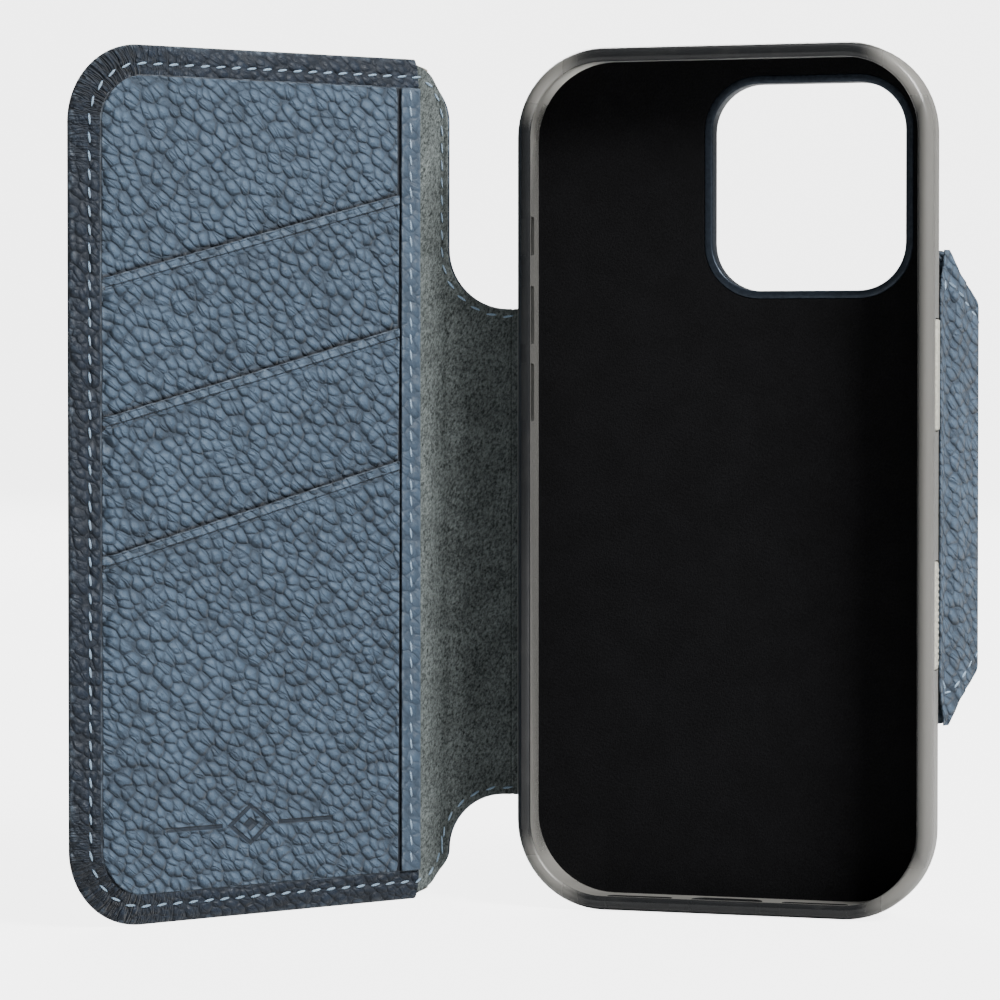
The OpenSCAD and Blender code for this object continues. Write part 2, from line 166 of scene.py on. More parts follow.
# %% Node helpers
def put(tree, kind, inputs=None, **settings):
    """Adds a node, changes its settings, and sets or links its inputs."""
    made = tree.nodes.new(kind)
    for key, value in settings.items():
        setattr(made, key, value)
    for key, value in (inputs or {}).items():
        if isinstance(value, bpy.types.NodeSocket):
            tree.links.new(value, made.inputs[key])
        else:
            made.inputs[key].default_value = value
    return made


def calc(tree, operation, a, b=0.0, clamp=False):
    made = put(tree, "ShaderNodeMath", {0: a, 1: b}, operation=operation, use_clamp=clamp)
    return made.outputs[0]


def times(tree, a, b):
    return calc(tree, "MULTIPLY", a, b)


def plus(tree, a, b, clamp=False):
    return calc(tree, "ADD", a, b, clamp)


def minus(tree, a, b, clamp=False):
    return calc(tree, "SUBTRACT", a, b, clamp)


def most(tree, a, b):
    return calc(tree, "MAXIMUM", a, b)


def away_from(tree, value, place):
    """How far a value is from a place, on either side."""
    return calc(tree, "ABSOLUTE", calc(tree, "SUBTRACT", value, place))


def vector_calc(tree, operation, a, b=(0, 0, 0)):
    return put(tree, "ShaderNodeVectorMath", {0: a, 1: b}, operation=operation).outputs[0]


def scaled(tree, vector, factor):
    made = put(tree, "ShaderNodeVectorMath", {0: vector, "Scale": factor}, operation="SCALE")
    return made.outputs[0]


def grey(tree, value):
    return put(tree, "ShaderNodeCombineColor", {0: value, 1: value, 2: value}).outputs[0]


def span(tree, value, low, high, out_low=0.0, out_high=1.0):
    """Maps a value between two limits to two others, with soft ends."""
    made = put(tree, "ShaderNodeMapRange", {0: value, 1: low, 2: high, 3: out_low, 4: out_high},
               interpolation_type="SMOOTHSTEP")
    return made.outputs[0]


def blend_colours(tree, share, first, second, kind="MIX"):
    made = put(tree, "ShaderNodeMix", {0: share, 6: first, 7: second},
               data_type="RGBA", blend_type=kind)
    return made.outputs[2]


def effect(name, inputs, outputs):
    """A shader node group with named sockets; returns it with its two end nodes."""
    tree = bpy.data.node_groups.new(name, "ShaderNodeTree")
    for label, kind, value in inputs:
        socket = tree.interface.new_socket(label, in_out="INPUT", socket_type=kind)
        if value is not None:
            socket.default_value = value
    for label, kind in outputs:
        tree.interface.new_socket(label, in_out="OUTPUT", socket_type=kind)
    return tree, tree.nodes.new("NodeGroupInput"), tree.nodes.new("NodeGroupOutput")


def use(tree, group, inputs):
    return put(tree, "ShaderNodeGroup", inputs, node_tree=group)


def give(tree, end, outputs):
    """Links the outputs of an effect by their names."""
    for label, value in outputs.items():
        tree.links.new(value, end.inputs[label])


def roughen(tree, shader, height, strength, distance):
    """Gives a material a bump. The distance is in metres."""
    bump = put(tree, "ShaderNodeBump",
               {"Height": height, "Strength": strength, "Distance": distance})
    tree.links.new(bump.outputs[0], shader.inputs["Normal"])


def blank_place(tree, attribute="blank"):
    """Where a point lies on the flat blank, in millimetres."""
    return put(tree, "ShaderNodeAttribute", attribute_name=attribute).outputs["Vector"]


def object_mm(tree):
    """Where a point lies on its object, in millimetres."""
    return scaled(tree, put(tree, "ShaderNodeTexCoord").outputs["Object"], 1000.0)


FLOAT, VECTOR = "NodeSocketFloat", "NodeSocketVector"
print("node helpers ready")

# %% [markdown]
# ## Pebble grain
# Tumbled leather shrinks into small domes divided by fine furrows. The domes are a little
# longer one way than the other, and large furrows hold smaller ones between them. Distance to
# the nearest cell wall gives furrows of one width whatever the cell's size, which is why a
# Voronoi pattern suits, and distance to its middle domes each cell. A slow noise bends the
# walls, because no furrow is straight, and drawn-out furrows run on across many cells.

# %% Pebble grain as an effect
PEBBLE, start, end = effect(
    "pebble grain",
    [("Place", VECTOR, None), ("Cells per mm", FLOAT, 0.6), ("Softness", FLOAT, 0.0)],
    [("Height", FLOAT), ("Furrow", FLOAT), ("Tone and dome shade", FLOAT)],
)
turned_place = put(PEBBLE, "ShaderNodeMapping",
                   {"Vector": start.outputs["Place"], "Rotation": (0, math.radians(38), 0),
                    "Scale": (1.35, 1.0, 0.9)}, vector_type="TEXTURE")
cells = scaled(PEBBLE, turned_place.outputs[0], start.outputs["Cells per mm"])
drift = put(PEBBLE, "ShaderNodeTexNoise", {"Vector": cells, "Scale": 0.7, "Detail": 1.5})
push = vector_calc(PEBBLE, "SUBTRACT", drift.outputs["Color"], (0.5, 0.5, 0.5))
bent = vector_calc(PEBBLE, "ADD", cells, scaled(PEBBLE, push, 0.6))
wide = put(PEBBLE, "ShaderNodeTexVoronoi", {"Vector": bent, "Scale": 1.0, "Randomness": 0.82},
           feature="DISTANCE_TO_EDGE").outputs["Distance"]
nearest = put(PEBBLE, "ShaderNodeTexVoronoi", {"Vector": bent, "Scale": 1.0, "Randomness": 0.82})
patch, middle = nearest.outputs["Color"], nearest.outputs["Distance"]
grit = put(PEBBLE, "ShaderNodeTexNoise",
           {"Vector": cells, "Scale": 4.2, "Detail": 4.0, "Roughness": 0.65}).outputs[0]
veil = put(PEBBLE, "ShaderNodeTexNoise", {"Vector": cells, "Scale": 0.22, "Detail": 1.0})
drawn_out = put(PEBBLE, "ShaderNodeMapping", {"Vector": bent, "Scale": (0.16, 1.0, 0.6)})
long_run = put(PEBBLE, "ShaderNodeTexNoise",
               {"Vector": drawn_out.outputs[0], "Scale": 1.0, "Detail": 1.0})
long_run = away_from(PEBBLE, long_run.outputs[0], 0.5)
furrow_wide = span(PEBBLE, wide, 0.0, 0.2, 0.85, 0.0)
furrow_long = span(PEBBLE, long_run, 0.0, 0.025, 0.9, 0.0)
furrow = most(PEBBLE, furrow_wide, furrow_long)
firm = minus(PEBBLE, 1.0, start.outputs["Softness"])
furrow = times(PEBBLE, furrow, firm)
dome = minus(PEBBLE, 1.0, times(PEBBLE, calc(PEBBLE, "POWER", middle, 2.0), 1.5), True)
dome = times(PEBBLE, dome, firm)
height = plus(PEBBLE, times(PEBBLE, dome, 1.9), times(PEBBLE, grit, 0.55))
height = minus(PEBBLE, height, times(PEBBLE, furrow, 0.3))
tone_and_dome_shade = plus(PEBBLE, times(PEBBLE, patch, 0.2), times(PEBBLE, veil.outputs[0], 0.4))
# Painted shade: each dome's top is painted lighter and its edges darker, on top of the random tone.
tone_and_dome_shade = plus(PEBBLE, tone_and_dome_shade, times(PEBBLE, dome, 0.4))
give(PEBBLE, end, {"Height": height, "Furrow": furrow, "Tone and dome shade": tone_and_dome_shade})
print("effect:", PEBBLE.name, len(PEBBLE.nodes), "nodes")

# %% [markdown]
# ## Gathers and the pressed stitch line
# Where a border of leather is turned round a corner, there is too much of it, and it is
# pinched into radial gathers. Along the whole border the thread pulls a groove. Both follow
# the edge and not the sheet, so the border carries its own coordinates: the way along the
# edge, the distance from the edge, and how strongly it is gathered.

# %% Gathers as an effect
GATHERS, start, end = effect(
    "edge gathers",
    [("Along edge", VECTOR, None)],
    [("Height", FLOAT), ("Crease", FLOAT), ("Groove", FLOAT)],
)
parts = put(GATHERS, "ShaderNodeSeparateXYZ", {0: start.outputs["Along edge"]})
along, inward, pinch = parts.outputs[0], parts.outputs[1], parts.outputs[2]
lane = put(GATHERS, "ShaderNodeCombineXYZ",
           {0: along, 1: times(GATHERS, inward, 0.16), 2: 0.0}).outputs[0]
ripple = put(GATHERS, "ShaderNodeTexNoise",
             {"Vector": lane, "Scale": 0.95, "Detail": 2.0, "Distortion": 0.6}).outputs[0]
fold_line = away_from(GATHERS, ripple, 0.5)
crease = span(GATHERS, fold_line, 0.0, 0.05, 1.0, 0.0)
crease = times(GATHERS, crease, pinch)
swell = times(GATHERS, span(GATHERS, fold_line, 0.0, 0.16), pinch)
from_line = away_from(GATHERS, inward, 3.4)
groove = span(GATHERS, from_line, 0.1, 0.5, 1.0, 0.0)
give(GATHERS, end, {"Height": minus(GATHERS, swell, crease), "Crease": crease, "Groove": groove})
print("effect:", GATHERS.name, len(GATHERS.nodes), "nodes")

# %% [markdown]
# ## Stamped ornament
# Low on the lowest panel a small blind stamp is pressed in hot: an open lozenge between two
# short rules. A hot stamp flattens the grain and darkens it, so the effect gives one mask
# made from distances on the flat blank. A lozenge is where two distances have a fixed sum.

# %% Stamp as an effect
STAMP_S, STAMP_Z = 42.0, 16.4
STAMP, start, end = effect("stamped lozenge", [("Place", VECTOR, None)], [("Pressed", FLOAT)])
stamp_x = FOLD_A.x - SPINE_W - STAMP_S
near_mark = vector_calc(STAMP, "SUBTRACT", start.outputs["Place"], (stamp_x, 0, STAMP_Z))
offs = put(STAMP, "ShaderNodeSeparateXYZ", {0: vector_calc(STAMP, "ABSOLUTE", near_mark)})
off_x, off_z = offs.outputs[0], offs.outputs[2]
both = plus(STAMP, times(STAMP, off_x, 0.8), off_z)
frame_line = away_from(STAMP, both, 3.3)
lozenge = span(STAMP, frame_line, 0.34, 0.55, 1.0, 0.0)
heart = span(STAMP, both, 1.1, 1.35, 1.0, 0.0)
rule = times(STAMP, span(STAMP, off_z, 0.26, 0.45, 1.0, 0.0),
             span(STAMP, away_from(STAMP, off_x, 11.5), 5.6, 5.8, 1.0, 0.0))
pressed = most(STAMP, most(STAMP, lozenge, heart), rule)
give(STAMP, end, {"Pressed": pressed})
print("effect:", STAMP.name, len(STAMP.nodes), "nodes")

# %% [markdown]
# ## Pocket mouths
# A mouth is a turned edge. The leather of the next panel gets a painted shadow where it slips
# under it, the turned edge itself is pulled smoother, and a pressed line runs below it.
# Each panel carries its distances above the lower mouth and below its own.

# %% Mouths as an effect
MOUTH, start, end = effect(
    "pocket mouth", [("Distances", VECTOR, None)],
    [("Painted shadow", FLOAT), ("Turned edge", FLOAT), ("Pressed line", FLOAT)])
parts = put(MOUTH, "ShaderNodeSeparateXYZ", {0: start.outputs["Distances"]})
above, below = parts.outputs[0], parts.outputs[1]
# Painted shadow on the next panel, darkest at the lower mouth and fading over 1.5 mm above it.
painted_tuck_shadow = calc(MOUTH, "POWER", span(MOUTH, above, 0.0, 1.5, 1.0, 0.0), 1.6)
edge = span(MOUTH, away_from(MOUTH, below, 0.85), 0.3, 0.75, 1.0, 0.0)
line = span(MOUTH, away_from(MOUTH, below, 1.9), 0.08, 0.34, 1.0, 0.0)
give(MOUTH, end, {"Painted shadow": painted_tuck_shadow, "Turned edge": edge, "Pressed line": line})
print("effect:", MOUTH.name, len(MOUTH.nodes), "nodes")

# %% [markdown]
# ## Leather
# Dyed through, then finished with a thin satin coat. Furrows are painted darker, as painted shade,
# rubbed edges are paler and smoother, and no two hands' breadths have quite the same tone.
# One recipe makes every leather finish, from the open grain of the outside to the flat
# strip beside the note pocket, with the grain's size and strength as its measures.

# %% Leather materials
NAVY = (0.062, 0.098, 0.146, 1)
# Near-black navy: painted shade for furrows, creases and under pocket mouths, and the real darkening of
# the hot stamp.
NAVY_SHADE_AND_STAMP = (0.006, 0.010, 0.017, 1)
NAVY_RUBBED = (0.17, 0.22, 0.28, 1)


def new_material(name):
    material = bpy.data.materials.new(name)
    material.use_nodes = True
    return material, material.node_tree, material.node_tree.nodes["Principled BSDF"]


def make_leather(name, cells_per_mm, softness, depth, colour=NAVY, border=False,
                 mark=False, mouth=False, furrow_shade=0.36):
    material, tree, shader = new_material(name)
    place = blank_place(tree)
    grain = use(tree, PEBBLE, {"Place": place, "Cells per mm": cells_per_mm,
                               "Softness": softness})
    height, furrow = grain.outputs["Height"], grain.outputs["Furrow"]
    if border:
        pinch = use(tree, GATHERS, {"Along edge": blank_place(tree, "edge_run")})
        height = plus(tree, height, times(tree, pinch.outputs["Height"], 1.7))
        # Painted shade: the gathers' creases and the stitch groove are darkened along with the furrows.
        furrow = most(tree, furrow, pinch.outputs["Crease"])
        furrow = most(tree, furrow, times(tree, pinch.outputs["Groove"], 0.6))
    if mouth:
        fold = use(tree, MOUTH, {"Distances": blank_place(tree, "mouths")})
        smooth = span(tree, fold.outputs["Turned edge"], 0, 1, 1.0, 0.7)
        height = times(tree, height, smooth)
        furrow = times(tree, furrow, smooth)
        height = minus(tree, height, times(tree, fold.outputs["Pressed line"], 1.1))
    if mark:
        stamp = use(tree, STAMP, {"Place": place}).outputs["Pressed"]
        height = minus(tree, times(tree, height, span(tree, stamp, 0, 1, 1.0, 0.25)),
                       times(tree, stamp, 1.6))
    # The tone holds random shifts of colour and the domes' painted shade.
    tone_and_dome_shade = span(tree, grain.outputs["Tone and dome shade"], 0.2, 0.9, 0.62, 1.36)
    top = blend_colours(tree, 1.0, colour, grey(tree, tone_and_dome_shade), "MULTIPLY")
    if mouth:
        pale = times(tree, fold.outputs["Turned edge"], 0.1)
        top = blend_colours(tree, pale, top, NAVY_RUBBED)
    # Painted shade: furrows, the gathers' creases, the stitch groove and the leather under each mouth are
    # mixed towards near-black navy; the stamp's darkening is real.
    shade_and_stamp = times(tree, furrow, furrow_shade)
    if mouth:
        shade_and_stamp = most(tree, shade_and_stamp, fold.outputs["Painted shadow"])
    if mark:
        shade_and_stamp = most(tree, shade_and_stamp, times(tree, stamp, 0.85))
    shaded_and_stamped = blend_colours(tree, shade_and_stamp, top, NAVY_SHADE_AND_STAMP)
    rim = put(tree, "ShaderNodeAttribute", attribute_name="rim").outputs["Fac"]
    rub = put(tree, "ShaderNodeTexNoise", {"Vector": place, "Scale": 0.5, "Detail": 3.0})
    worn = times(tree, rim, span(tree, rub.outputs[0], 0.42, 0.72, 0.05, 0.6))
    worn = times(tree, worn, minus(tree, 1.0, furrow))
    tree.links.new(blend_colours(tree, worn, shaded_and_stamped, NAVY_RUBBED), shader.inputs["Base Color"])
    rough = plus(tree, times(tree, furrow, 0.3), 0.44)
    rough = minus(tree, rough, times(tree, worn, 0.12))
    tree.links.new(rough, shader.inputs["Roughness"])
    roughen(tree, shader, height, 1.0, depth * 0.001)
    shader.inputs["Specular IOR Level"].default_value = 0.42
    shader.inputs["Sheen Weight"].default_value = 0.08
    shader.inputs["Sheen Roughness"].default_value = 0.5
    return material


LEATHER = make_leather("navy grained leather", 0.54, 0.0, 0.6)
LEATHER_PANEL = make_leather("navy leather of the pockets", 0.54, 0.0, 0.6, mouth=True)
LEATHER_MARKED = make_leather("navy leather, stamped", 0.54, 0.0, 0.6, mark=True, mouth=True)
# Painted shade: the turned border is coloured far darker than the hide it is part of; its back keeps the
# plain hide.
LEATHER_BORDER_SHADED = make_leather("navy leather, turned edge, shaded darker", 0.6, 0.2, 0.36,
                              (0.007, 0.015, 0.029, 1), border=True)
LEATHER_FLAT = make_leather("navy leather, flattened grain", 0.5, 0.5, 0.3)
# Dark edge paint for cut edges, also laid on the pocket mouths and the pocket backing as painted shade.
LEATHER_EDGE_AND_SHADE = make_leather("leather edge paint and painted shade", 1.6, 0.7, 0.05, (0.010, 0.015, 0.024, 1))
print("leather finishes:", [m.name for m in bpy.data.materials if "leather" in m.name])

# %% [markdown]
# ## Suede
# The lining is a microfibre suede. Its nap is brushed into tiny clumps that catch the light
# differently, so up close it is a salt and pepper of grey-green, with cloudy brush marks. Its
# fibres glow at the edge of the view, which is what sheen is for.

# %% Suede nap as an effect, and two fabrics that use it
NAP, start, end = effect(
    "brushed nap",
    [("Place", VECTOR, None), ("Clumps per mm", FLOAT, 2.2)],
    [("Height", FLOAT), ("Speckle", FLOAT), ("Cloud", FLOAT)],
)
brushed = put(NAP, "ShaderNodeMapping",
              {"Vector": start.outputs["Place"], "Rotation": (0, math.radians(24), 0),
               "Scale": (0.8, 1.0, 1.35)}, vector_type="TEXTURE").outputs[0]
fine = scaled(NAP, brushed, start.outputs["Clumps per mm"])
fluff = put(NAP, "ShaderNodeTexNoise",
            {"Vector": fine, "Scale": 1.0, "Detail": 3.0, "Roughness": 0.72}).outputs[0]
clump = put(NAP, "ShaderNodeTexVoronoi", {"Vector": fine, "Scale": 0.8}).outputs["Color"]
cloud = put(NAP, "ShaderNodeTexNoise",
            {"Vector": start.outputs["Place"], "Scale": 0.16, "Detail": 3.0}).outputs[0]
speckle = plus(NAP, times(NAP, span(NAP, fluff, 0.3, 0.7), 0.7), times(NAP, clump, 0.3))
give(NAP, end, {"Height": fluff, "Speckle": speckle, "Cloud": cloud})


def make_suede(name, low, high, clumps, attribute, sheen):
    material, tree, shader = new_material(name)
    place = blank_place(tree, attribute) if attribute else object_mm(tree)
    nap = use(tree, NAP, {"Place": place, "Clumps per mm": clumps})
    colour = blend_colours(tree, nap.outputs["Speckle"], low, high)
    cloudy = span(tree, nap.outputs["Cloud"], 0.3, 0.7, 0.82, 1.12)
    tree.links.new(blend_colours(tree, 1.0, colour, grey(tree, cloudy), "MULTIPLY"),
                   shader.inputs["Base Color"])
    tree.links.new(span(tree, nap.outputs["Speckle"], 0, 1, 0.98, 0.84),
                   shader.inputs["Roughness"])
    roughen(tree, shader, nap.outputs["Height"], 0.6, 0.00022)
    shader.inputs["Specular IOR Level"].default_value = 0.15
    shader.inputs["Sheen Weight"].default_value = sheen
    shader.inputs["Sheen Roughness"].default_value = 0.45
    return material


SUEDE = make_suede("grey-green suede", (0.007, 0.009, 0.009, 1), (0.22, 0.25, 0.245, 1),
                   2.6, "blank", 0.12)
LINER = make_suede("charcoal microfibre", (0.0015, 0.0015, 0.0018, 1), (0.007, 0.007, 0.008, 1),
                   3.0, None, 0.02)
print("fabrics:", SUEDE.name, "and", LINER.name)

# %% [markdown]
# ## Thread
# Waxed polyester thread of two plies. The twist shows as slanting bands along each stitch, with
# painted light on the plies and painted shade between them, so each stitch carries its own
# coordinates, from end to end and around.

# %% Thread material
def make_thread():
    material, tree, shader = new_material("light blue thread")
    ply = put(tree, "ShaderNodeTexWave",
              {"Vector": blank_place(tree, "thread_run"), "Scale": 1.1, "Distortion": 0.6, "Detail": 1.0},
              wave_type="BANDS", bands_direction="DIAGONAL").outputs["Fac"]
    # Painted light on the plies' tops, and painted shade in the grooves between them.
    ply_painted_light = span(tree, ply, 0.15, 0.75)
    colour = blend_colours(tree, ply_painted_light, (0.10, 0.18, 0.30, 1), (0.50, 0.67, 0.83, 1))
    tree.links.new(colour, shader.inputs["Base Color"])
    tree.links.new(span(tree, ply_painted_light, 0, 1, 0.62, 0.4), shader.inputs["Roughness"])
    roughen(tree, shader, ply, 0.8, 0.00006)
    shader.inputs["Sheen Weight"].default_value = 0.15
    return material


THREAD = make_thread()
print("thread:", THREAD.name)

# %% [markdown]
# ## Clear bumper, board, steel and moulded buttons
# The bumper is a flexible clear plastic. Its straight walls are clear, and its thicker
# corners are milky. The wall on the strap's side and any part seen edge-on are painted milky
# and light as a painted reflection. The plastic's slight haze is uneven. The buttons are moulded
# in the same plastic with a cream tint. Boards are grey pulp with fibres, and the magnets and
# the keeper are plated steel with fine rolling marks.

# %% Hard materials
def make_bumper():
    material, tree, shader = new_material("translucent bumper")
    place = object_mm(tree)
    middle = TO_FRAME @ Vector((TRAY_W / 2, 0, TRAY_H / 2)) * 1000
    centred = vector_calc(tree, "SUBTRACT", place, middle)
    signed = put(tree, "ShaderNodeSeparateXYZ", {0: centred})
    # Painted light: the wall on the strap's side is made milky and pale, as if lit and reflecting the
    # bright surround.
    painted_light_strap_wall = times(tree, span(tree, signed.outputs[0], 34.0, 36.8), 0.7)
    sides = put(tree, "ShaderNodeSeparateXYZ", {0: vector_calc(tree, "ABSOLUTE", centred)})
    milk_and_painted_light = calc(tree, "MINIMUM", span(tree, sides.outputs[0], 24.0, 31.0),
                span(tree, sides.outputs[2], 62.0, 70.0))
    haze = put(tree, "ShaderNodeTexNoise", {"Vector": place, "Scale": 0.25, "Detail": 3.0})
    milk_and_painted_light = plus(tree, milk_and_painted_light, span(tree, haze.outputs[0], 0.4, 0.8, -0.02, 0.05), True)
    # Painted reflection: surfaces seen edge-on turn milky and light.
    edge_on = put(tree, "ShaderNodeLayerWeight", {"Blend": 0.5}).outputs["Facing"]
    milk_and_painted_light = most(tree, milk_and_painted_light, span(tree, edge_on, 0.62, 0.85))
    milk_and_painted_light = most(tree, milk_and_painted_light, painted_light_strap_wall)
    colour = blend_colours(tree, milk_and_painted_light, (0.035, 0.037, 0.039, 1), (0.42, 0.41, 0.38, 1))
    tree.links.new(colour, shader.inputs["Base Color"])
    tree.links.new(span(tree, milk_and_painted_light, 0, 1, 0.09, 0.30), shader.inputs["Roughness"])
    fine = put(tree, "ShaderNodeTexNoise", {"Vector": place, "Scale": 2.5, "Detail": 2.0})
    roughen(tree, shader, fine.outputs[0], 0.05, 0.00003)
    shader.inputs["Transmission Weight"].default_value = 0.45
    shader.inputs["IOR"].default_value = 1.47
    return material


def make_solid(name, low, high, rough, metallic=0.0, grain=(1.0, 1.0, 1.0), scale=1.5):
    material, tree, shader = new_material(name)
    stretched = put(tree, "ShaderNodeMapping", {"Vector": object_mm(tree), "Scale": grain})
    fleck = put(tree, "ShaderNodeTexNoise",
                {"Vector": stretched.outputs[0], "Scale": scale, "Detail": 4.0}).outputs[0]
    tree.links.new(blend_colours(tree, span(tree, fleck, 0.3, 0.7), low, high),
                   shader.inputs["Base Color"])
    tree.links.new(span(tree, fleck, 0.3, 0.7, rough + 0.08, rough - 0.06),
                   shader.inputs["Roughness"])
    roughen(tree, shader, fleck, 0.3, 0.00006)
    shader.inputs["Metallic"].default_value = metallic
    return material


BUMPER = make_bumper()
BUTTON = make_solid("cream button plastic", (0.46, 0.45, 0.38, 1), (0.66, 0.645, 0.56, 1), 0.34)
BEZEL = make_solid("dark anodised frame", (0.018, 0.026, 0.038, 1), (0.034, 0.046, 0.064, 1),
                   0.36, 0.6)
BOARD = make_solid("pulp board", (0.20, 0.17, 0.13, 1), (0.34, 0.30, 0.24, 1), 0.85,
                   grain=(1.0, 1.0, 0.2))
STEEL = make_solid("plated steel", (0.42, 0.43, 0.44, 1), (0.66, 0.67, 0.68, 1), 0.30, 1.0,
                   grain=(0.15, 1.0, 2.5))
print("hard finishes:", BUMPER.name, BUTTON.name, BEZEL.name, BOARD.name, STEEL.name)

# %% [markdown]
# ## Cutting a blank
# A leather worker cuts a blank with a knife and a few radius punches: straight sides, then
# rounded corners. Here a face through a few corner points is that blank, and a vertex bevel
# is the punch. Extruding gives it thickness, an edge bevel rounds its edges, and a narrow
# inset keeps the flat of the sheet shading flat. Where it will fold, it is cut into strips.

# %% Blank, thickness, edges
FLAT = 0.999
SHARP = 0.9


def bevel(bm, geom, radius, segments, affect="EDGES", clamp=False):
    bmesh.ops.bevel(bm, geom=geom, offset=radius, offset_type="OFFSET", segments=segments,
                    profile=0.5, affect=affect, clamp_overlap=clamp, material=-1)


def sharp_edges(bm):
    return [e for e in bm.edges if e.is_manifold and e.calc_face_angle() > SHARP]


def cut_blank(corners, segments=14):
    """A flat face in the plane of the sheet through (x, z, radius) corners."""
    bm = bmesh.new()
    verts = [bm.verts.new((x, 0, z)) for x, z, radius in corners]
    bm.faces.new(verts)
    for vert, (x, z, radius) in zip(verts, corners):
        if radius:
            bevel(bm, [vert], radius, segments, "VERTICES")
    return bm


def thicken(bm, y_from, y_to):
    """Gives every face of a flat blank the depth from one y to another."""
    bmesh.ops.translate(bm, verts=bm.verts[:], vec=(0, y_from, 0))
    grown = bmesh.ops.extrude_face_region(bm, geom=bm.faces[:])
    moved = [g for g in grown["geom"] if isinstance(g, bmesh.types.BMVert)]
    bmesh.ops.translate(bm, verts=moved, vec=(0, y_to - y_from, 0))
    bmesh.ops.recalc_face_normals(bm, faces=bm.faces[:])


def round_edges(bm, radius, segments=3, ring=0.3):
    """Bevels the sheet's sharp edges, then insets its flats by a narrow ring."""
    bm.normal_update()
    bevel(bm, sharp_edges(bm), radius, segments)
    rim = bm.verts.layers.float.new("rim")
    for vert in bm.verts:
        vert[rim] = 1.0
    if ring:
        bm.normal_update()
        flats = [f for f in bm.faces if abs(f.normal.y) > FLAT]
        bmesh.ops.inset_region(bm, faces=flats, thickness=ring, use_even_offset=True,
                               use_boundary=True)
        bm.normal_update()
        for vert in bm.verts:
            if all(abs(f.normal.y) > FLAT for f in vert.link_faces):
                vert[rim] = 0.0


def strips(bm, places, normal=(1, 0, 0)):
    """Cuts the sheet through along planes, so that it can bend there."""
    for place in places:
        point = Vector(normal).normalized() * place
        bmesh.ops.bisect_plane(bm, geom=bm.verts[:] + bm.edges[:] + bm.faces[:],
                               plane_co=point, plane_no=normal)


def fold_strips(bm, line_x, reach, steps=12):
    strips(bm, [line_x - reach + 2 * reach * i / steps for i in range(steps + 1)])


print("blank tools ready")

# %% [markdown]
# ## Finishing a piece
# Before a sheet is folded, each point notes where it lay on the flat blank. The materials
# read that note, which is how the grain runs round a fold without sliding. Then the piece is
# folded, brought into the frame and smoothed. Pieces that lie over a fold are baked in place,
# and the others are hung on their body.

# %% Finish a piece
def to_object(bm, name):
    """Turns a finished bmesh into an object of the scene."""
    mesh = bpy.data.meshes.new(name)
    bm.to_mesh(mesh)
    bm.free()
    made = bpy.data.objects.new(name, mesh)
    bpy.context.scene.collection.objects.link(made)
    return made


def add_mesh(bm, other):
    """Adds another bmesh to this one."""
    mesh = bpy.data.meshes.new("added")
    other.to_mesh(mesh)
    other.free()
    bm.from_mesh(mesh)
    bpy.data.meshes.remove(mesh)


def finish_piece(bm, name, materials, fold=unfolded, edge_material=None):
    layer = bm.verts.layers.float_vector.new("blank")
    for vert in bm.verts:
        vert[layer] = vert.co
    bm.normal_update()
    if edge_material is not None:
        for face in bm.faces:
            if abs(face.normal.y) < 0.6:
                face.material_index = edge_material
    for vert in bm.verts:
        vert.co = fold(vert.co)
    bmesh.ops.transform(bm, matrix=TO_FRAME, verts=bm.verts[:])
    piece = to_object(bm, name)
    mesh = piece.data
    mesh.shade_smooth()
    mesh.set_sharp_from_angle(angle=math.radians(42))
    for material in materials:
        mesh.materials.append(material)
    print(f"{name}: {len(mesh.vertices)} points, {len(mesh.polygons)} faces")
    return piece


def join_bodies(piece, fold, line_x, line_y, reach, side):
    """Bakes a piece's place into its mesh. The points on either side of the fold are worked out but not
    used.
    """
    before = fold(Vector((line_x - side * reach, line_y, MID_Z)))
    after = fold(Vector((line_x + side * reach, line_y, MID_Z)))
    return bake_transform(piece)


def over_spine_fold(piece):
    return join_bodies(piece, folded_left, FOLD_A.x, FOLD_A.y, FOLD_REACH, -1)


def over_cover_fold(piece):
    return join_bodies(piece, folded_left, FOLD_A.x - SPINE_W, FOLD_A.y,
                       FOLD_REACH, -1)


print("finishing tools ready")

# %% [markdown]
# ## Cover leather
# One hide runs from the middle of the case to the free edge of the cover. The part inside the
# turned border is a plain sheet, whose hollow corners flare into the narrower spine. It is
# cut 2.4 mm short of the tray's fold, where the spine lies flat, and meets the tray's half
# there.

# %% Outer hide of the cover and half of the spine
SEAM = -13.8
LEDGE = 5.6
hide_corners = [
    (LEDGE, 0.9, 0), (LEDGE, 5.8, 0), (COVER_W - 5.8, 5.8, 8.2),
    (COVER_W - 5.8, COVER_H - 5.8, 8.2), (LEDGE, COVER_H - 5.8, 0), (LEDGE, COVER_H - 0.9, 0),
    (-2, COVER_H - 4, 7.2), (-2, 108, 11), (SEAM, 108, 0), (SEAM, 19, 0), (-2, 19, 10.3),
    (-2, 4, 7.2),
]
FOLD_B_X = FOLD_A.x - SPINE_W


def cut_left(corners, segments=14):
    """A blank drawn from the cover's fold, through (s, z, radius) corners."""
    return cut_blank([(FOLD_B_X - s, z, r) for s, z, r in corners], segments)


hide = cut_left(hide_corners)
thicken(hide, FOLD_A.y + 0.89, FOLD_A.y - 0.1)
round_edges(hide, 0.3)
fold_strips(hide, FOLD_B_X, FOLD_REACH)
hide = finish_piece(hide, "cover_hide", [LEATHER, LEATHER_EDGE_AND_SHADE], folded_left, 1)
over_cover_fold(hide)

# %% [markdown]
# ## Turned border
# Along the three free sides the hide is skived, folded round the board and glued down
# inside. Its section is swept round the cover: straight, a quarter turn, straight, a quarter
# turn, straight. Spin does both, as a straight run is a spin of no angle with a shift. At the
# corners the gathers are real ridges in the mesh, and the material adds the finer ones.

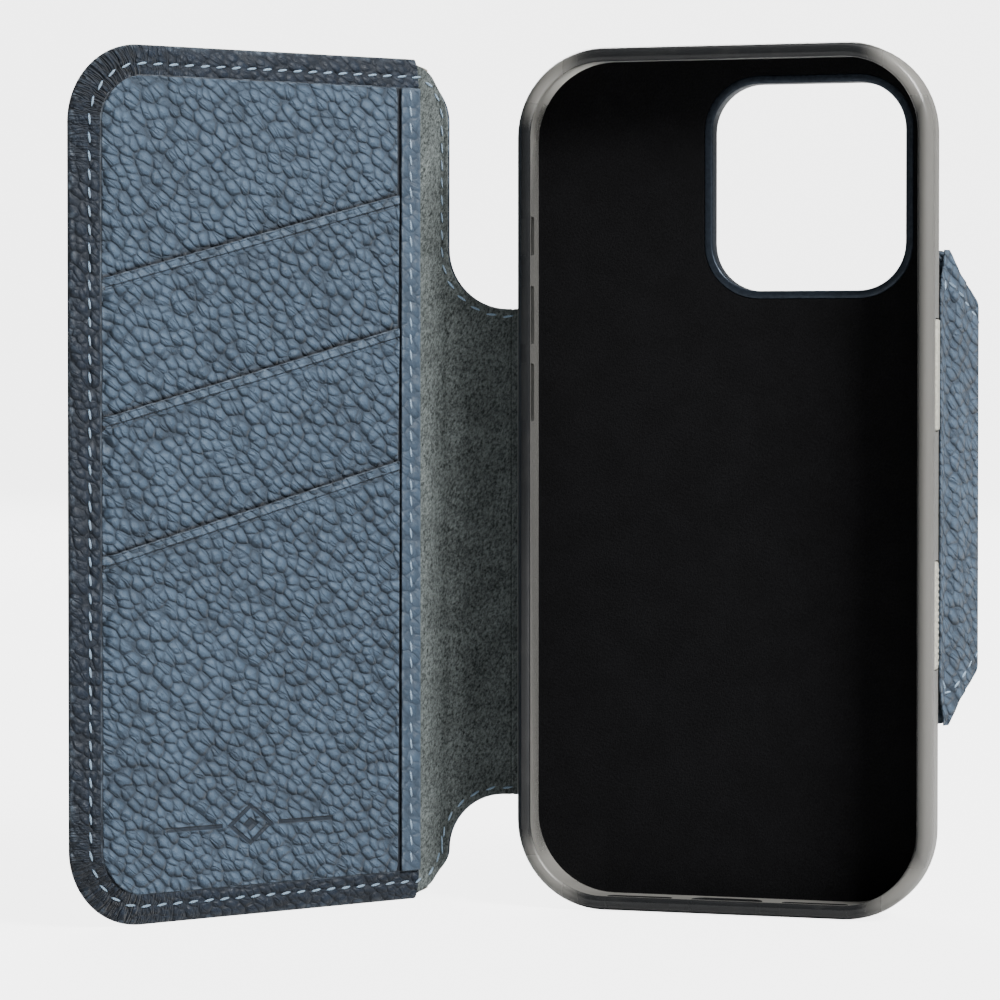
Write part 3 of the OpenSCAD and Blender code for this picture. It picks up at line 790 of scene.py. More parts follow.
# %% Sweep the border's section
border_section = [
    (6.4, -0.9), (3.7, -0.9), (3.4, -0.84), (3.1, -0.9), (1.3, -0.9), (0.8, -0.83),
    (0.4, -0.62), (0.13, -0.3), (0.01, 0.04), (0.04, 0.36), (0.22, 0.66), (0.6, 0.93),
    (1.1, 1.16), (1.7, 1.36), (2.35, 1.53), (2.85, 1.58), (3.15, 1.50), (3.4, 1.42),
    (3.65, 1.54), (3.95, 1.72), (4.5, 1.86), (5.15, 1.88), (5.46, 1.78), (5.6, 1.55),
    (5.6, 0.95), (1.25, 0.95), (1.25, 0.1), (6.4, 0.1),
]
CORNER_R = 14.0
border = bmesh.new()
ring = [border.verts.new(cover_at(LEDGE, d, v)) for d, v in border_section]
ring_edges = [border.edges.new((a, b)) for a, b in zip(ring, ring[1:] + ring[:1])]
border.faces.new(ring)


def run_on(bm, geom, shift=(0, 0, 0), turn=0.0, centre=(0, 0, 0), steps=1):
    """Sweeps a section on, straight or round a corner, and returns its new end."""
    made = bmesh.ops.spin(bm, geom=geom, cent=centre, axis=(0, 1, 0), dvec=shift,
                          angle=turn, steps=steps, use_merge=False)
    return made["geom_last"]


quarter = math.radians(90)
along_bottom = COVER_W - CORNER_R - LEDGE
up_side = COVER_H - 2 * CORNER_R
tip = ring + ring_edges
tip = run_on(border, tip, shift=(-along_bottom / 30, 0, 0), steps=30)
tip = run_on(border, tip, turn=quarter, steps=72,
             centre=cover_at(COVER_W - CORNER_R, CORNER_R, 0))
tip = run_on(border, tip, shift=(0, 0, up_side / 60), steps=60)
tip = run_on(border, tip, turn=quarter, steps=72,
             centre=cover_at(COVER_W - CORNER_R, COVER_H - CORNER_R, 0))
tip = run_on(border, tip, shift=(along_bottom / 30, 0, 0), steps=30)
bmesh.ops.contextual_create(border, geom=[g for g in tip if isinstance(g, bmesh.types.BMEdge)])
bmesh.ops.recalc_face_normals(border, faces=border.faces[:])
low, high = min(v.co.z for v in border.verts), max(v.co.z for v in border.verts)
print(f"border runs from z {low:.2f} to {high:.2f} mm, {len(border.faces)} faces")

# %% [markdown]
# The gathers rise and fall along the edge. They are strongest in the middle of a corner,
# vanish on the straights, and leave the back of the cover flat.

# %% Gather the corners
def edge_run(point):
    """(way along the edge, distance from the edge, how gathered) of a point."""
    s, z = FOLD_B_X - point.x, point.z
    side = 1 if z > COVER_H / 2 else -1
    centre_z = COVER_H - CORNER_R if side > 0 else CORNER_R
    out_s, out_z = s - (COVER_W - CORNER_R), side * (z - centre_z)
    if out_s > 0 and out_z > 0:
        angle = math.atan2(out_s, out_z)
        gathered = ease(angle / 0.5 + 0.35) * ease((quarter - angle) / 0.5 + 0.35)
        return Vector((side * (200 - angle * 12), CORNER_R - math.hypot(out_s, out_z), gathered))
    if out_s > 0:
        near = 0.35 * ease(1 + out_z / 12)
        return Vector((side * (200 - quarter * 12 + out_z), COVER_W - s, near))
    near = 0.30 * ease(1 + out_s / 16)
    return Vector((side * (200 - out_s), COVER_H / 2 - abs(z - COVER_H / 2), near))


run_layer = border.verts.layers.float_vector.new("edge_run")
rim_layer = border.verts.layers.float.new("rim")
for vert in border.verts:
    run = edge_run(vert.co)
    vert[run_layer] = run
    v = FOLD_A.y - vert.co.y
    vert[rim_layer] = ease(1 - run.y / 1.2)
    wobble = noise.noise(Vector((run.x * 0.35, 0.0, 3.0)))
    ridge = abs(math.sin(run.x * 2.3 + 2.4 * wobble)) ** 0.6 - 0.6
    lift = 0.20 * ridge * run.z * ease(v + 0.2)
    ripple = 0.05 * noise.noise(Vector((run.x * 0.12, run.y * 0.2, 7.0)))
    if v > 0.96 and run.y < 5.59:
        vert.co.y -= lift + ripple
for face in border.faces:
    if FOLD_A.y - face.calc_center_median().y < 0.05:
        face.material_index = 1
border = finish_piece(border, "cover_turned_border", [LEATHER_BORDER_SHADED, LEATHER], folded_left)
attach(border, "cover")
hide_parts("cover_leather")

# %% [markdown]
# ## Suede lining of the spine and the hinge side
# The suede lies on the hide from the tray to the border and shows only between the two. It
# is cut a hair smaller than the leather, so both edges can be seen, and rises by half a
# millimetre where the cover's board starts.

# %% Suede, cover half
def suede_top(s):
    """Height of the suede above mid-leather, s from the cover's fold."""
    return 0.9 + 0.5 * ease((s - 0.6) / 3.2)


def lined(point):
    """Lifts the suede's face over the board's edge, then folds."""
    s, v = FOLD_B_X - point.x, FOLD_A.y - point.y
    if v > 0.5:
        point = point - Vector((0, suede_top(s) - 0.9, 0))
    return folded_left(point)


suede_corners = [
    (LEDGE + 0.1, 1.05, 0), (LEDGE + 0.1, COVER_H - 1.05, 0), (-1.85, COVER_H - 4.1, 7.1),
    (-1.85, 107.85, 11.1), (SEAM, 107.85, 0), (SEAM, 19.15, 0), (-1.85, 19.15, 10.4),
    (-1.85, 4.1, 7.1),
]
suede = cut_left(suede_corners)
thicken(suede, FOLD_A.y - 0.1, FOLD_A.y - 0.9)
round_edges(suede, 0.22)
fold_strips(suede, FOLD_B_X, FOLD_REACH, 14)
strips(suede, [FOLD_B_X - 2.8, FOLD_B_X - 3.4, FOLD_B_X - 4.0])
suede = finish_piece(suede, "cover_suede", [SUEDE], lined)
over_cover_fold(suede)
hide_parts("cover_lining")

# %% [markdown]
# The tray's half of the suede is a plain strip with no corners. It runs on a little under the
# bumper's edge, so that no gap opens when the spine folds.

# %% Suede, tray half, which runs on under the bumper's edge
tray_suede = cut_blank([
    (FOLD_B_X - SEAM, 19.15, 0), (2.4, 19.15, 0), (2.4, 107.85, 0),
    (FOLD_B_X - SEAM, 107.85, 0),
])
thicken(tray_suede, FOLD_A.y - 0.1, FOLD_A.y - 0.9)
round_edges(tray_suede, 0.22)
fold_strips(tray_suede, FOLD_A.x, FOLD_REACH, 14)
tray_suede = finish_piece(tray_suede, "spine_suede", [SUEDE], folded_left)
over_spine_fold(tray_suede)
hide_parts("spine_lining")

# %% [markdown]
# ## Back panel
# The tray's half of the hide covers the back of the case, with a rounded window for the
# cameras. Behind it lies a lining layer with the board. The window is cut with a Boolean, as
# a punch would do it, before the edges are rounded.

# %% Back hide with its camera window
WINDOW = (32.5, 109.5, 70.5, 149.5, 10.0)


def outline_box(x0, z0, x1, z1, radius):
    return [(x0, z0, radius), (x1, z0, radius), (x1, z1, radius), (x0, z1, radius)]


def punch(bm, cutters):
    """Cuts closed cutter meshes out of a closed mesh, and returns what is left."""
    made = [to_object(source, f"punch_{i}") for i, source in enumerate([bm] + cutters)]
    blank, tools = made[0], made[1:]
    for tool in tools:
        cut = blank.modifiers.new(tool.name, "BOOLEAN")
        cut.object = tool
        cut.operation = "DIFFERENCE"
        cut.solver = "EXACT"
    bpy.context.view_layer.update()
    left = bmesh.new()
    left.from_object(blank, bpy.context.evaluated_depsgraph_get())
    for used in made:
        bpy.data.objects.remove(used)
    bmesh.ops.remove_doubles(left, verts=left.verts[:], dist=0.0005)
    return left


def window_tool(y_from, y_to):
    tool = cut_blank(outline_box(*WINDOW), 10)
    thicken(tool, y_from, y_to)
    return tool


PANEL_R = 14.2
back_corners = [
    (1.8, 1.8, PANEL_R), (TRAY_W - 1.8, 1.8, PANEL_R), (TRAY_W - 1.8, TRAY_H - 1.8, PANEL_R),
    (1.8, TRAY_H - 1.8, PANEL_R), (1.8, 108, 2.4), (FOLD_B_X - SEAM, 108, 0),
    (FOLD_B_X - SEAM, 19, 0), (1.8, 19, 2.4),
]
back = cut_blank(back_corners)
thicken(back, BACK_Y, BACK_Y - 1.0)
back = punch(back, [window_tool(BACK_Y - 2, BACK_Y + 1)])
round_edges(back, 0.35, ring=0.3)
fold_strips(back, FOLD_A.x, FOLD_REACH)
back = finish_piece(back, "back_hide", [LEATHER, LEATHER_EDGE_AND_SHADE], folded_left, 1)
over_spine_fold(back)
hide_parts("back_leather", "spine_leather")

inner = cut_blank(outline_box(1.9, 1.9, TRAY_W - 1.9, TRAY_H - 1.9, 14.1))
thicken(inner, BACK_Y - 1.0, SHELL_D)
inner = punch(inner, [window_tool(BACK_Y - 3, BACK_Y + 1)])
round_edges(inner, 0.12)
inner = finish_piece(inner, "back_inner_leather", [LEATHER_FLAT, LEATHER_EDGE_AND_SHADE], unfolded, 1)
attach(inner, "tray")

# %% [markdown]
# ## Pockets
# Three slanted card pockets overlap like roof tiles, and a fourth panel closes the top. Each
# is thin leather whose mouth is turned in, which leaves a pressed line just under the mouth.
# The panels lean out over each other, and their mouths swell a little in the middle, as
# leather does that has held cards.

# %% Card panels
PANEL_FROM, PANEL_TO = 10.5, 71.35
SLOPE = math.radians(14.6)
RISE = (PANEL_TO - PANEL_FROM) * math.tan(SLOPE)
MOUTHS = [64.6, 88.7, 112.8]
PANEL_T = 0.55
LEAN = 0.75
FLOOR_V = 1.9
MARGIN = 5.5


def mouth_z(k, s):
    return MOUTHS[k] + (PANEL_TO - s) * math.tan(SLOPE)


def panel_shape(k):
    """Leans panel k out towards its mouth, presses its line and swells it."""
    def shape(point):
        s, z, v = FOLD_B_X - point.x, point.z, FOLD_A.y - point.y
        if k == 3:
            below = 40.0
            lean = 0.0
        else:
            below = (mouth_z(k, s) - z) * math.cos(SLOPE)
            length = MOUTHS[0] + (PANEL_TO - s) * math.tan(SLOPE) if k == 0 else 30.1
            lean = LEAN * min(1, max(0, 1 - (mouth_z(k, s) - z) / length))
        across = (s - PANEL_FROM) / (PANEL_TO - PANEL_FROM)
        swell = 0.16 * math.sin(math.pi * min(1, max(0, across))) * ease(1 - below / 16)
        swell += 0.05 * noise.noise(Vector((s * 0.06, z * 0.06, k * 3.0)))
        press = 0.20 * ease(1 - abs(below - 1.9) / 0.55) if v > 0.3 else 0.0
        inside = min(PANEL_TO - s, z - MARGIN, COVER_H - MARGIN - z)
        press += (lean + swell + 0.4) * ease(1 - inside / 1.7)
        return folded_left(point - Vector((0, FLOOR_V + lean + swell - press, 0)))
    return shape


def cut_panel(k):
    if k == 3:
        low = MOUTHS[2] - 6
        corners = [(PANEL_TO, low, 0), (PANEL_TO, COVER_H - MARGIN, 8.3),
                   (PANEL_FROM, COVER_H - MARGIN, 0), (PANEL_FROM, low + RISE, 0)]
    elif k == 0:
        corners = [(PANEL_TO, MARGIN, 8.3), (PANEL_TO, MOUTHS[0], 0.5),
                   (PANEL_FROM, MOUTHS[0] + RISE, 0.5), (PANEL_FROM, MARGIN, 0)]
    else:
        low = MOUTHS[k] - 30.1
        corners = [(PANEL_TO, low, 0), (PANEL_TO, MOUTHS[k], 0.5),
                   (PANEL_FROM, MOUTHS[k] + RISE, 0.5), (PANEL_FROM, low + RISE, 0)]
    panel = cut_left(corners, 12)
    thicken(panel, FOLD_A.y, FOLD_A.y - PANEL_T)
    round_edges(panel, 0.27, ring=0.18)
    strips(panel, [FOLD_B_X - s for s in range(15, 70, 5)])
    strips(panel, [FOLD_B_X - PANEL_TO + d for d in (0.7, 1.0, 1.35, 1.7)])
    strips(panel, [6.2, 6.5, 6.85, 7.2, COVER_H - 7.2, COVER_H - 6.85, COVER_H - 6.5,
                   COVER_H - 6.2], (0, 0, 1))
    if k < 3:
        normal = (-math.sin(SLOPE), 0, math.cos(SLOPE))
        mouth = Vector((FOLD_B_X - PANEL_TO, 0, MOUTHS[k])).dot(Vector(normal))
        for below in (1.3, 1.55, 1.75, 1.9, 2.05, 2.25, 2.5, 4, 7, 10, 13, 16, 20, 25):
            strips(panel, [mouth - below], normal)
    return panel


def note_mouths(panel, k):
    """Notes each point's distance above the lower mouth and below the panel's own."""
    layer = panel.verts.layers.float_vector.new("mouths")
    for vert in panel.verts:
        s, z = FOLD_B_X - vert.co.x, vert.co.z
        above = (z - mouth_z(k - 1, s)) * math.cos(SLOPE) if k > 0 else 99.0
        below = (mouth_z(k, s) - z) * math.cos(SLOPE) if k < 3 else 99.0
        vert[layer] = (above, below, 0)


for k, node in enumerate(["pocket_panel_lower", "pocket_panel_middle", "pocket_panel_upper",
                          "pocket_panel_top"]):
    grain = LEATHER_MARKED if k == 0 else LEATHER_PANEL
    panel = cut_panel(k)
    note_mouths(panel, k)
    panel.normal_update()
    # Painted shadow: the faces of each mouth's rounded edge get the near-black edge colour, drawing a
    # dark line under the mouth.
    for face in panel.faces:
        if face.normal.dot(Vector((-math.sin(SLOPE), 0, math.cos(SLOPE)))) > 0.3 and k < 3:
            face.material_index = 1
    panel = finish_piece(panel, node.replace("pocket", "card"), [grain, LEATHER_EDGE_AND_SHADE],
                         panel_shape(k))
    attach(panel, "cover")
    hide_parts(node)

# %% [markdown]
# ## Note pocket strip and backing
# Beside the card panels a doubled strip of flat leather is sewn down. The dark slit between
# the two is the mouth of a full-height pocket for notes. Behind both lies a plain backing in
# the near-black edge colour, which paints shade into the slit.

# %% Strip and backing
strip = cut_left([(LEDGE, MARGIN, 0), (9.75, MARGIN, 0), (9.75, COVER_H - MARGIN, 0),
                  (LEDGE, COVER_H - MARGIN, 0)])
thicken(strip, FOLD_A.y - 1.85, FOLD_A.y - 2.6)
round_edges(strip, 0.28)
strips(strip, [FOLD_B_X - s for s in (7.1, 7.45, 7.8, 8.15, 8.5)])
strips(strip, range(10, 150, 4), (0, 0, 1))


def sewn_down(point):
    """Presses the strip along its row of thread."""
    s, v = FOLD_B_X - point.x, FOLD_A.y - point.y
    if v > 2.3:
        point = point + Vector((0, 0.13 * ease(1 - abs(s - 7.8) / 0.7), 0))
    return folded_left(point)


strip = finish_piece(strip, "note_strip", [LEATHER_FLAT, LEATHER_EDGE_AND_SHADE], sewn_down, 1)
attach(strip, "cover")
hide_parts("note_pocket_strip")

# The backing gets the near-black edge colour, a dark sheet that paints the slit's shade.
backing = cut_left([(LEDGE, 5.3, 0), (COVER_W - 5.3, 5.3, 8.4),
                    (COVER_W - 5.3, COVER_H - 5.3, 8.4), (LEDGE, COVER_H - 5.3, 0)])
thicken(backing, FOLD_A.y - 0.95, FOLD_A.y - 1.85)
round_edges(backing, 0.1)
backing = finish_piece(backing, "pocket_back_sheet", [LEATHER_EDGE_AND_SHADE], folded_left)
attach(backing, "cover")
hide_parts("pocket_backing")

# %% [markdown]
# ## Strap
# One strap, three folds: a root that widens to the case, a short wrap, and a tab with the
# magnets. It is cut flat as one blank with rounded edges, then parted half way between its
# folds, so that each part bends over one fold. The root's half is only the outer leather:
# its inner leather runs on along the bumper's wall.

# %% Strap blank, parted between its folds
PART_1, PART_2 = ROOT_L / 2, ROOT_L + WRAP_L / 2
TAB_END = ROOT_L + WRAP_L + 26.0
strap_outline = [
    (-3.45, 34, 0), (-1.2, 34, 0.9), (2, 38.1, 1.5), (8, 41.8, 2.5), (ROOT_L + 2, 45.5, 2),
    (TAB_END, 45.5, 12), (TAB_END, 106.5, 12), (ROOT_L + 2, 106.5, 2), (8, 110.2, 2.5),
    (2, 113.9, 1.5), (-1.2, 118, 0.9), (-3.45, 118, 0),
]


def cut_strap(v_from, v_to, s_from, s_to, radius=0.35):
    """The stretch of the strap between two distances from its root fold."""
    bm = cut_blank([(FOLD_C.x + s, z, r) for s, z, r in strap_outline])
    thicken(bm, FOLD_C.y - v_from, FOLD_C.y - v_to)
    round_edges(bm, radius)
    for s, keep in ((s_from, 1), (s_to, -1)):
        cut = bmesh.ops.bisect_plane(
            bm, geom=bm.verts[:] + bm.edges[:] + bm.faces[:], plane_no=(-keep, 0, 0),
            plane_co=(FOLD_C.x + s, 0, 0), clear_outer=True)
        rim = [g for g in cut["geom_cut"] if isinstance(g, bmesh.types.BMEdge)]
        if rim:
            bmesh.ops.contextual_create(bm, geom=rim)
    return bm


def tab_padded(point):
    """The tab is thicker on the outside, over its magnets."""
    s, v = point.x - FOLD_C.x, FOLD_C.y - point.y
    inside_z = 30.5 - abs(point.z - MID_Z)
    edge = min(inside_z, TAB_END - s, s - ROOT_L - WRAP_L - 1.0)
    if v < -0.5:
        point = point + Vector((0, 0.75 * ease(edge / 2.6), 0))
    return folded_right(point)


strap_parts = [
    ("strap_root_outer", -0.7, 0.2, -3.45, PART_1, "tray", "strap_root", 0.0,
     ["strap_root_leather"]),
    ("strap_wrap_part", -0.7, 0.7, PART_1, PART_2, "strap_root", "strap_wrap", ROOT_L,
     ["strap_wrap_leather", "strap_wrap_lining"]),
    ("strap_tab_part", -0.7, 0.7, PART_2, TAB_END, "strap_wrap", "tab", ROOT_L + WRAP_L,
     ["tab_leather", "tab_lining"]),
]
for name, v_from, v_to, s_from, s_to, first, second, line, nodes in strap_parts:
    part = cut_strap(v_from, v_to, s_from, s_to)
    fold_strips(part, FOLD_C.x + line, STRAP_REACH, 10)
    if second == "tab":
        strips(part, [FOLD_C.x + line + d for d in (2.2, 2.8, 3.4, 22.6, 23.4, 24.2, 25)])
        strips(part, [46.3, 47.1, 47.9, 104.1, 104.9, 105.7], (0, 0, 1))
    else:
        strips(part, range(37, 117, 3), (0, 0, 1))
    part = finish_piece(part, name, [LEATHER, LEATHER_EDGE_AND_SHADE], tab_padded, 1)
    join_bodies(part, folded_right, FOLD_C.x + line, FOLD_C.y, STRAP_REACH, 1)
    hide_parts(*nodes)

# %% [markdown]
# ## Strap tongue and its crease
# The strap's inner leather is bonded to the rear of the bumper's wall, just behind the
# buttons, and crosses to the root in a soft crease that is never quite straight. It is
# a grid whose rows are placed by its outline and whose columns follow the crease's section,
# because both the outline and the section curve.

# %% Inner leather of the strap's root
crease_line = [
    (75.76, 6.9), (75.76, 8.4), (75.77, 9.8), (75.90, 10.9), (76.32, 11.8), (76.95, 12.85),
    (77.58, 13.95), (78.05, 15.33), (78.57, 16.94),
]
crease_points = [Vector((x, y, 0)) for x, y in crease_line]
crease_at = [0.0]
for a, b in zip(crease_points, crease_points[1:]):
    crease_at.append(crease_at[-1] + (b - a).length)
CREASE_ZERO = crease_at[5]
T_END = crease_at[-1] - CREASE_ZERO
TONGUE_LOW, TONGUE_HIGH = 33.9, 118.1


def crease_place(t):
    """Point and outward direction at t mm past the crease."""
    want = min(crease_at[-1] - 0.001, max(0.0, t + CREASE_ZERO))
    k = max(i for i in range(len(crease_at) - 1) if crease_at[i] <= want)
    share = (want - crease_at[k]) / (crease_at[k + 1] - crease_at[k])

    def slope(i):
        i = min(len(crease_points) - 2, max(1, i))
        return (crease_points[i + 1] - crease_points[i - 1]).normalized()
    point = crease_points[k].lerp(crease_points[k + 1], share)
    along = slope(k).lerp(slope(k + 1), share).normalized()
    return point, Vector((along.y, -along.x, 0))


def tongue_front(z):
    """How far forward the tongue reaches at height z."""
    inside = min(z - TONGUE_LOW, TONGUE_HIGH - z)
    return -2.6 - 3.4 * ease(inside / 8.5)


def root_back(z):
    """How far back the root's half reaches at height z, on its slanted contour."""
    inside = min(z - TONGUE_LOW, TONGUE_HIGH - z)
    sloped = -1.0 + inside * 0.72 if inside < 4.2 else 2.0 + (inside - 4.2) * 1.6
    return min(T_END, sloped)


ROWS, COLUMNS = 150, 22
tongue = bmesh.new()
bmesh.ops.create_grid(tongue, x_segments=COLUMNS, y_segments=ROWS, size=0.5)
tongue_blank = tongue.verts.layers.float_vector.new("blank")
tongue_rim = tongue.verts.layers.float.new("rim")
for vert in tongue.verts:
    z = TONGUE_LOW + (vert.co.y + 0.5) * (TONGUE_HIGH - TONGUE_LOW)
    t = tongue_front(z) + (vert.co.x + 0.5) * (root_back(z) - tongue_front(z))
    point, out = crease_place(t)
    waves = noise.noise(Vector((t * 0.5, 0, z * 0.42))) + 0.5 * noise.noise(
        Vector((t, 4, z * 1.1)))
    edge = min(1, (0.5 + vert.co.x) * 9) * min(1, (0.5 - abs(vert.co.y)) * 30)
    wrinkle = 0.30 * waves * math.exp(-((t + 0.4) / 1.5) ** 2)
    thick = 0.12 + 0.13 * math.sqrt(max(0, edge))
    vert.co = Vector((point.x, point.y, z)) + out * (thick + wrinkle * edge)
    vert[tongue_blank] = Vector((FOLD_C.x + t, FOLD_C.y - 0.7, z))
    vert[tongue_rim] = 1 - min(1, edge * 1.5)
tongue.normal_update()
if sum(f.normal.x for f in tongue.faces) < 0:
    bmesh.ops.reverse_faces(tongue, faces=tongue.faces[:])
bmesh.ops.solidify(tongue, geom=tongue.faces[:], thickness=0.25)
bmesh.ops.recalc_face_normals(tongue, faces=tongue.faces[:])
bmesh.ops.transform(tongue, matrix=TO_FRAME, verts=tongue.verts[:])
tongue = to_object(tongue, "strap_tongue")
tongue.data.shade_smooth()
tongue.data.set_sharp_from_angle(angle=math.radians(60))
tongue.data.materials.append(LEATHER)
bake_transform(tongue)
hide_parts("strap_anchor", "strap_root_lining")
print("strap_tongue:", len(tongue.data.polygons), "faces")

# %% [markdown]
# ## Saddle stitches
# Each stitch is a short fat grain of thread that dives into the leather at both ends and
# leans a little across its row. A row is laid along a path with rounded corners. Each stitch
# has only thirty faces, because there are hundreds.

# %% Paths and stitches
def rounded_path(corners, closed=False):
    """Points along a path of (s, z, radius) corners, half a millimetre apart at most."""
    points = []
    count = len(corners)
    for i, (s, z, radius) in enumerate(corners):
        here = Vector((s, z))
        ends = not closed and i in (0, count - 1)
        if ends or not radius:
            points.append(here)
            continue
        to_last = (Vector(corners[i - 1][:2]) - here).normalized()
        to_next = (Vector(corners[(i + 1) % count][:2]) - here).normalized()
        half = math.acos(max(-1, min(1, to_last.dot(to_next)))) / 2
        reach = radius / math.tan(half)
        centre = here + (to_last + to_next).normalized() * (radius / math.sin(half))
        first, last = here + to_last * reach - centre, here + to_next * reach - centre
        sweep = first.angle_signed(last)
        for step in range(17):
            turn = Matrix.Rotation(-sweep * step / 16, 2)
            points.append(centre + turn @ first)
    return points + points[:1] if closed else points


def spaced(points, pitch):
    """(place, direction) every pitch along the points."""
    out, left = [], pitch / 2
    for a, b in zip(points, points[1:]):
        length = (b - a).length
        while left <= length and length > 0:
            out.append((a.lerp(b, left / length), (b - a).normalized()))
            left += pitch
        left -= length
    return out


def sew(name, spots, place, fold=unfolded, facing=1, long=1.95, wide=0.46, lean=9.0):
    """One mesh of stitches. place(s, z) gives the point of the blank on the surface."""
    bm = bmesh.new()
    run = bm.verts.layers.float_vector.new("thread_run")
    for index, (spot, way) in enumerate(spots):
        along = (place(*(spot + way * 0.3)) - place(*(spot - way * 0.3))).normalized()
        up = Vector((0, -facing, 0))
        across = up.cross(along).normalized()
        tilt = Matrix.Rotation(math.radians(lean), 3, up)
        size = long * (1 + 0.08 * noise.noise(Vector((index * 1.7, 0, 0))))
        made = bmesh.ops.create_uvsphere(bm, u_segments=6, v_segments=6, radius=1)
        for vert in made["verts"]:
            x, y, z = vert.co.z, vert.co.x, vert.co.y
            vert[run] = (x * long, y, z)
            body = along * (x * size / 2) + across * (y * wide / 2) + up * (z * wide * 0.42)
            vert.co = place(*spot) + tilt @ body
    return finish_piece(bm, name, [THREAD], fold)


print("thread tools ready")

# %% [markdown]
# One thread goes round the whole cover and along the spine: in the groove of the border,
# then close to the suede's edge. It is laid on the inside and on the outside, and parted
# where the hide is.

# %% Thread of the cover and the spine
cover_row = rounded_path([
    (-17.9, 20.4, 0), (-0.6, 20.4, 11.7), (-0.6, 6.0, 7.5), (5.6, 3.4, 2.0),
    (73.6, 3.4, 10.6), (73.6, 150.1, 10.6), (5.6, 150.1, 2.0), (-0.6, 147.5, 7.5),
    (-0.6, 106.6, 12.4), (-17.9, 106.6, 0),
])
STITCH_STEP = 3.18
cover_spots = spaced(cover_row, STITCH_STEP)


def on_inside(s, z):
    if s > LEDGE:
        return cover_at(s, z, 1.62)
    return cover_at(s, z, suede_top(s) + 0.06)


def on_outside(s, z):
    return cover_at(s, z, -0.93)


for name, place, facing in (("cover_thread", on_inside, 1), ("hide_thread", on_outside, -1)):
    cover_side = [spot for spot in cover_spots if spot[0].x > SEAM]
    tray_side = [spot for spot in cover_spots if spot[0].x <= SEAM]
    row = sew(name, cover_side, place, folded_left, facing)
    over_cover_fold(row)
    if facing > 0:
        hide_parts("cover_stitching")
    row = sew(name + "_spine", tray_side, place, folded_left, facing)
    over_spine_fold(row)
    if facing > 0:
        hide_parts("spine_stitching")

# %% [markdown]
# Two more rows are sewn before the case is closed up: one down the note strip, and one round
# the back panel, which is seen only from behind.

# %% Thread of the note strip and of the back panel
strip_spots = spaced([Vector((7.8, 6.6)), Vector((7.8, 147.0))], 2.95)
row = sew("strip_thread", strip_spots, lambda s, z: cover_at(s, z, 2.54), folded_left)
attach(row, "cover")
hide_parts("pocket_stitching")

back_row = rounded_path([
    (4.2, 4.2, 11.8), (TRAY_W - 4.2, 4.2, 11.8), (TRAY_W - 4.2, TRAY_H - 4.2, 11.8),
    (4.2, TRAY_H - 4.2, 11.8)], closed=True)
row = sew("back_thread", spaced(back_row, STITCH_STEP),
          lambda x, z: Vector((x, BACK_Y + 0.04, z)), unfolded, -1)
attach(row, "tray")
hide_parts("back_stitching")

# %% [markdown]
# The strap is sewn through along its whole outline. Each fold parts its row, one length for
# each part of the strap.

# %% Thread of the strap, inside and outside
strap_row = rounded_path([
    (-4.6, 42.6, 0), (-3.2, 39.8, 0.6), (-1, 39.8, 1.2), (6, 44.2, 3),
    (ROOT_L + 1.6, 47.3, 2), (TAB_END - 1.6, 47.3, 10.4), (TAB_END - 1.6, 104.7, 10.4),
    (ROOT_L + 1.6, 104.7, 2), (6, 107.8, 3), (-1, 112.2, 1.2), (-3.2, 112.2, 0.6),
    (-4.6, 109.4, 0)])
strap_spots = spaced(strap_row, 3.05)


def on_tongue(s, z):
    point, out = crease_place(s)
    return Vector((point.x, point.y, z)) + out * 0.36


def tab_outside(s, z):
    edge = min(30.5 - abs(z - MID_Z), TAB_END - s, s - ROOT_L - WRAP_L - 1.0)
    return strap_at(s, z, -0.73 - 0.75 * ease(edge / 2.6))


for facing, side in ((1, "inner"), (-1, "outer")):
    surface = (lambda s, z: strap_at(s, z, 0.62)) if facing > 0 else tab_outside
    for label, s_from, s_to, first, second, line in (
            ("root", -9, PART_1, "tray", "strap_root", 0.0),
            ("wrap", PART_1, PART_2, "strap_root", "strap_wrap", ROOT_L),
            ("tab", PART_2, 99, "strap_wrap", "tab", ROOT_L + WRAP_L)):
        spots = [spot for spot in strap_spots if s_from < spot[0].x <= s_to]
        name = f"{label}_thread_{side}"
        if label == "root" and facing > 0:
            row = sew(name, spots, on_tongue)
        else:
            row = sew(name, [s for s in spots if s[0].x > -3.0], surface, folded_right, facing)
        join_bodies(row, folded_right, FOLD_C.x + line, FOLD_C.y,
                    STRAP_REACH, 1)
        if label == "tab" and facing > 0:
            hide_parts("tab_stitching")

# %% [markdown]
# ## Bumper
# The tray is moulded in one shot: a floor, walls that round over into the floor, and a lip
# that holds the screen. Rounded rectangles, one for each step of the wall's section, are
# bridged into its skin. Then the buttons' windows, the charging port, the sound vents and the
# camera window are punched.

# %% Sweep the bumper's wall
wall_section = [
    (3.1, 11.5, 0), (2.3, 11.36, 0), (1.62, 10.9, 0), (1.05, 10.15, 0), (0.62, 9.25, 0),
    (0.3, 8.3, 0), (0.1, 7.5, 0), (0.0, 6.7, 0), (0.0, 2.6, 0), (0.1, 1.6, 0), (0.35, 0.85, 0),
    (0.72, 0.34, 0), (1.15, 0.07, 0), (1.6, 0.0, 0), (2.25, 0.02, 0), (2.55, 0.16, 0),
    (2.7, 0.45, 0), (2.7, 0.95, 0), (2.58, 1.22, 0), (2.3, 1.3, 0.05), (1.75, 1.32, 0.4),
    (1.7, 1.5, 0.4), (1.7, 10.3, 0.4),
]
shell = bmesh.new()


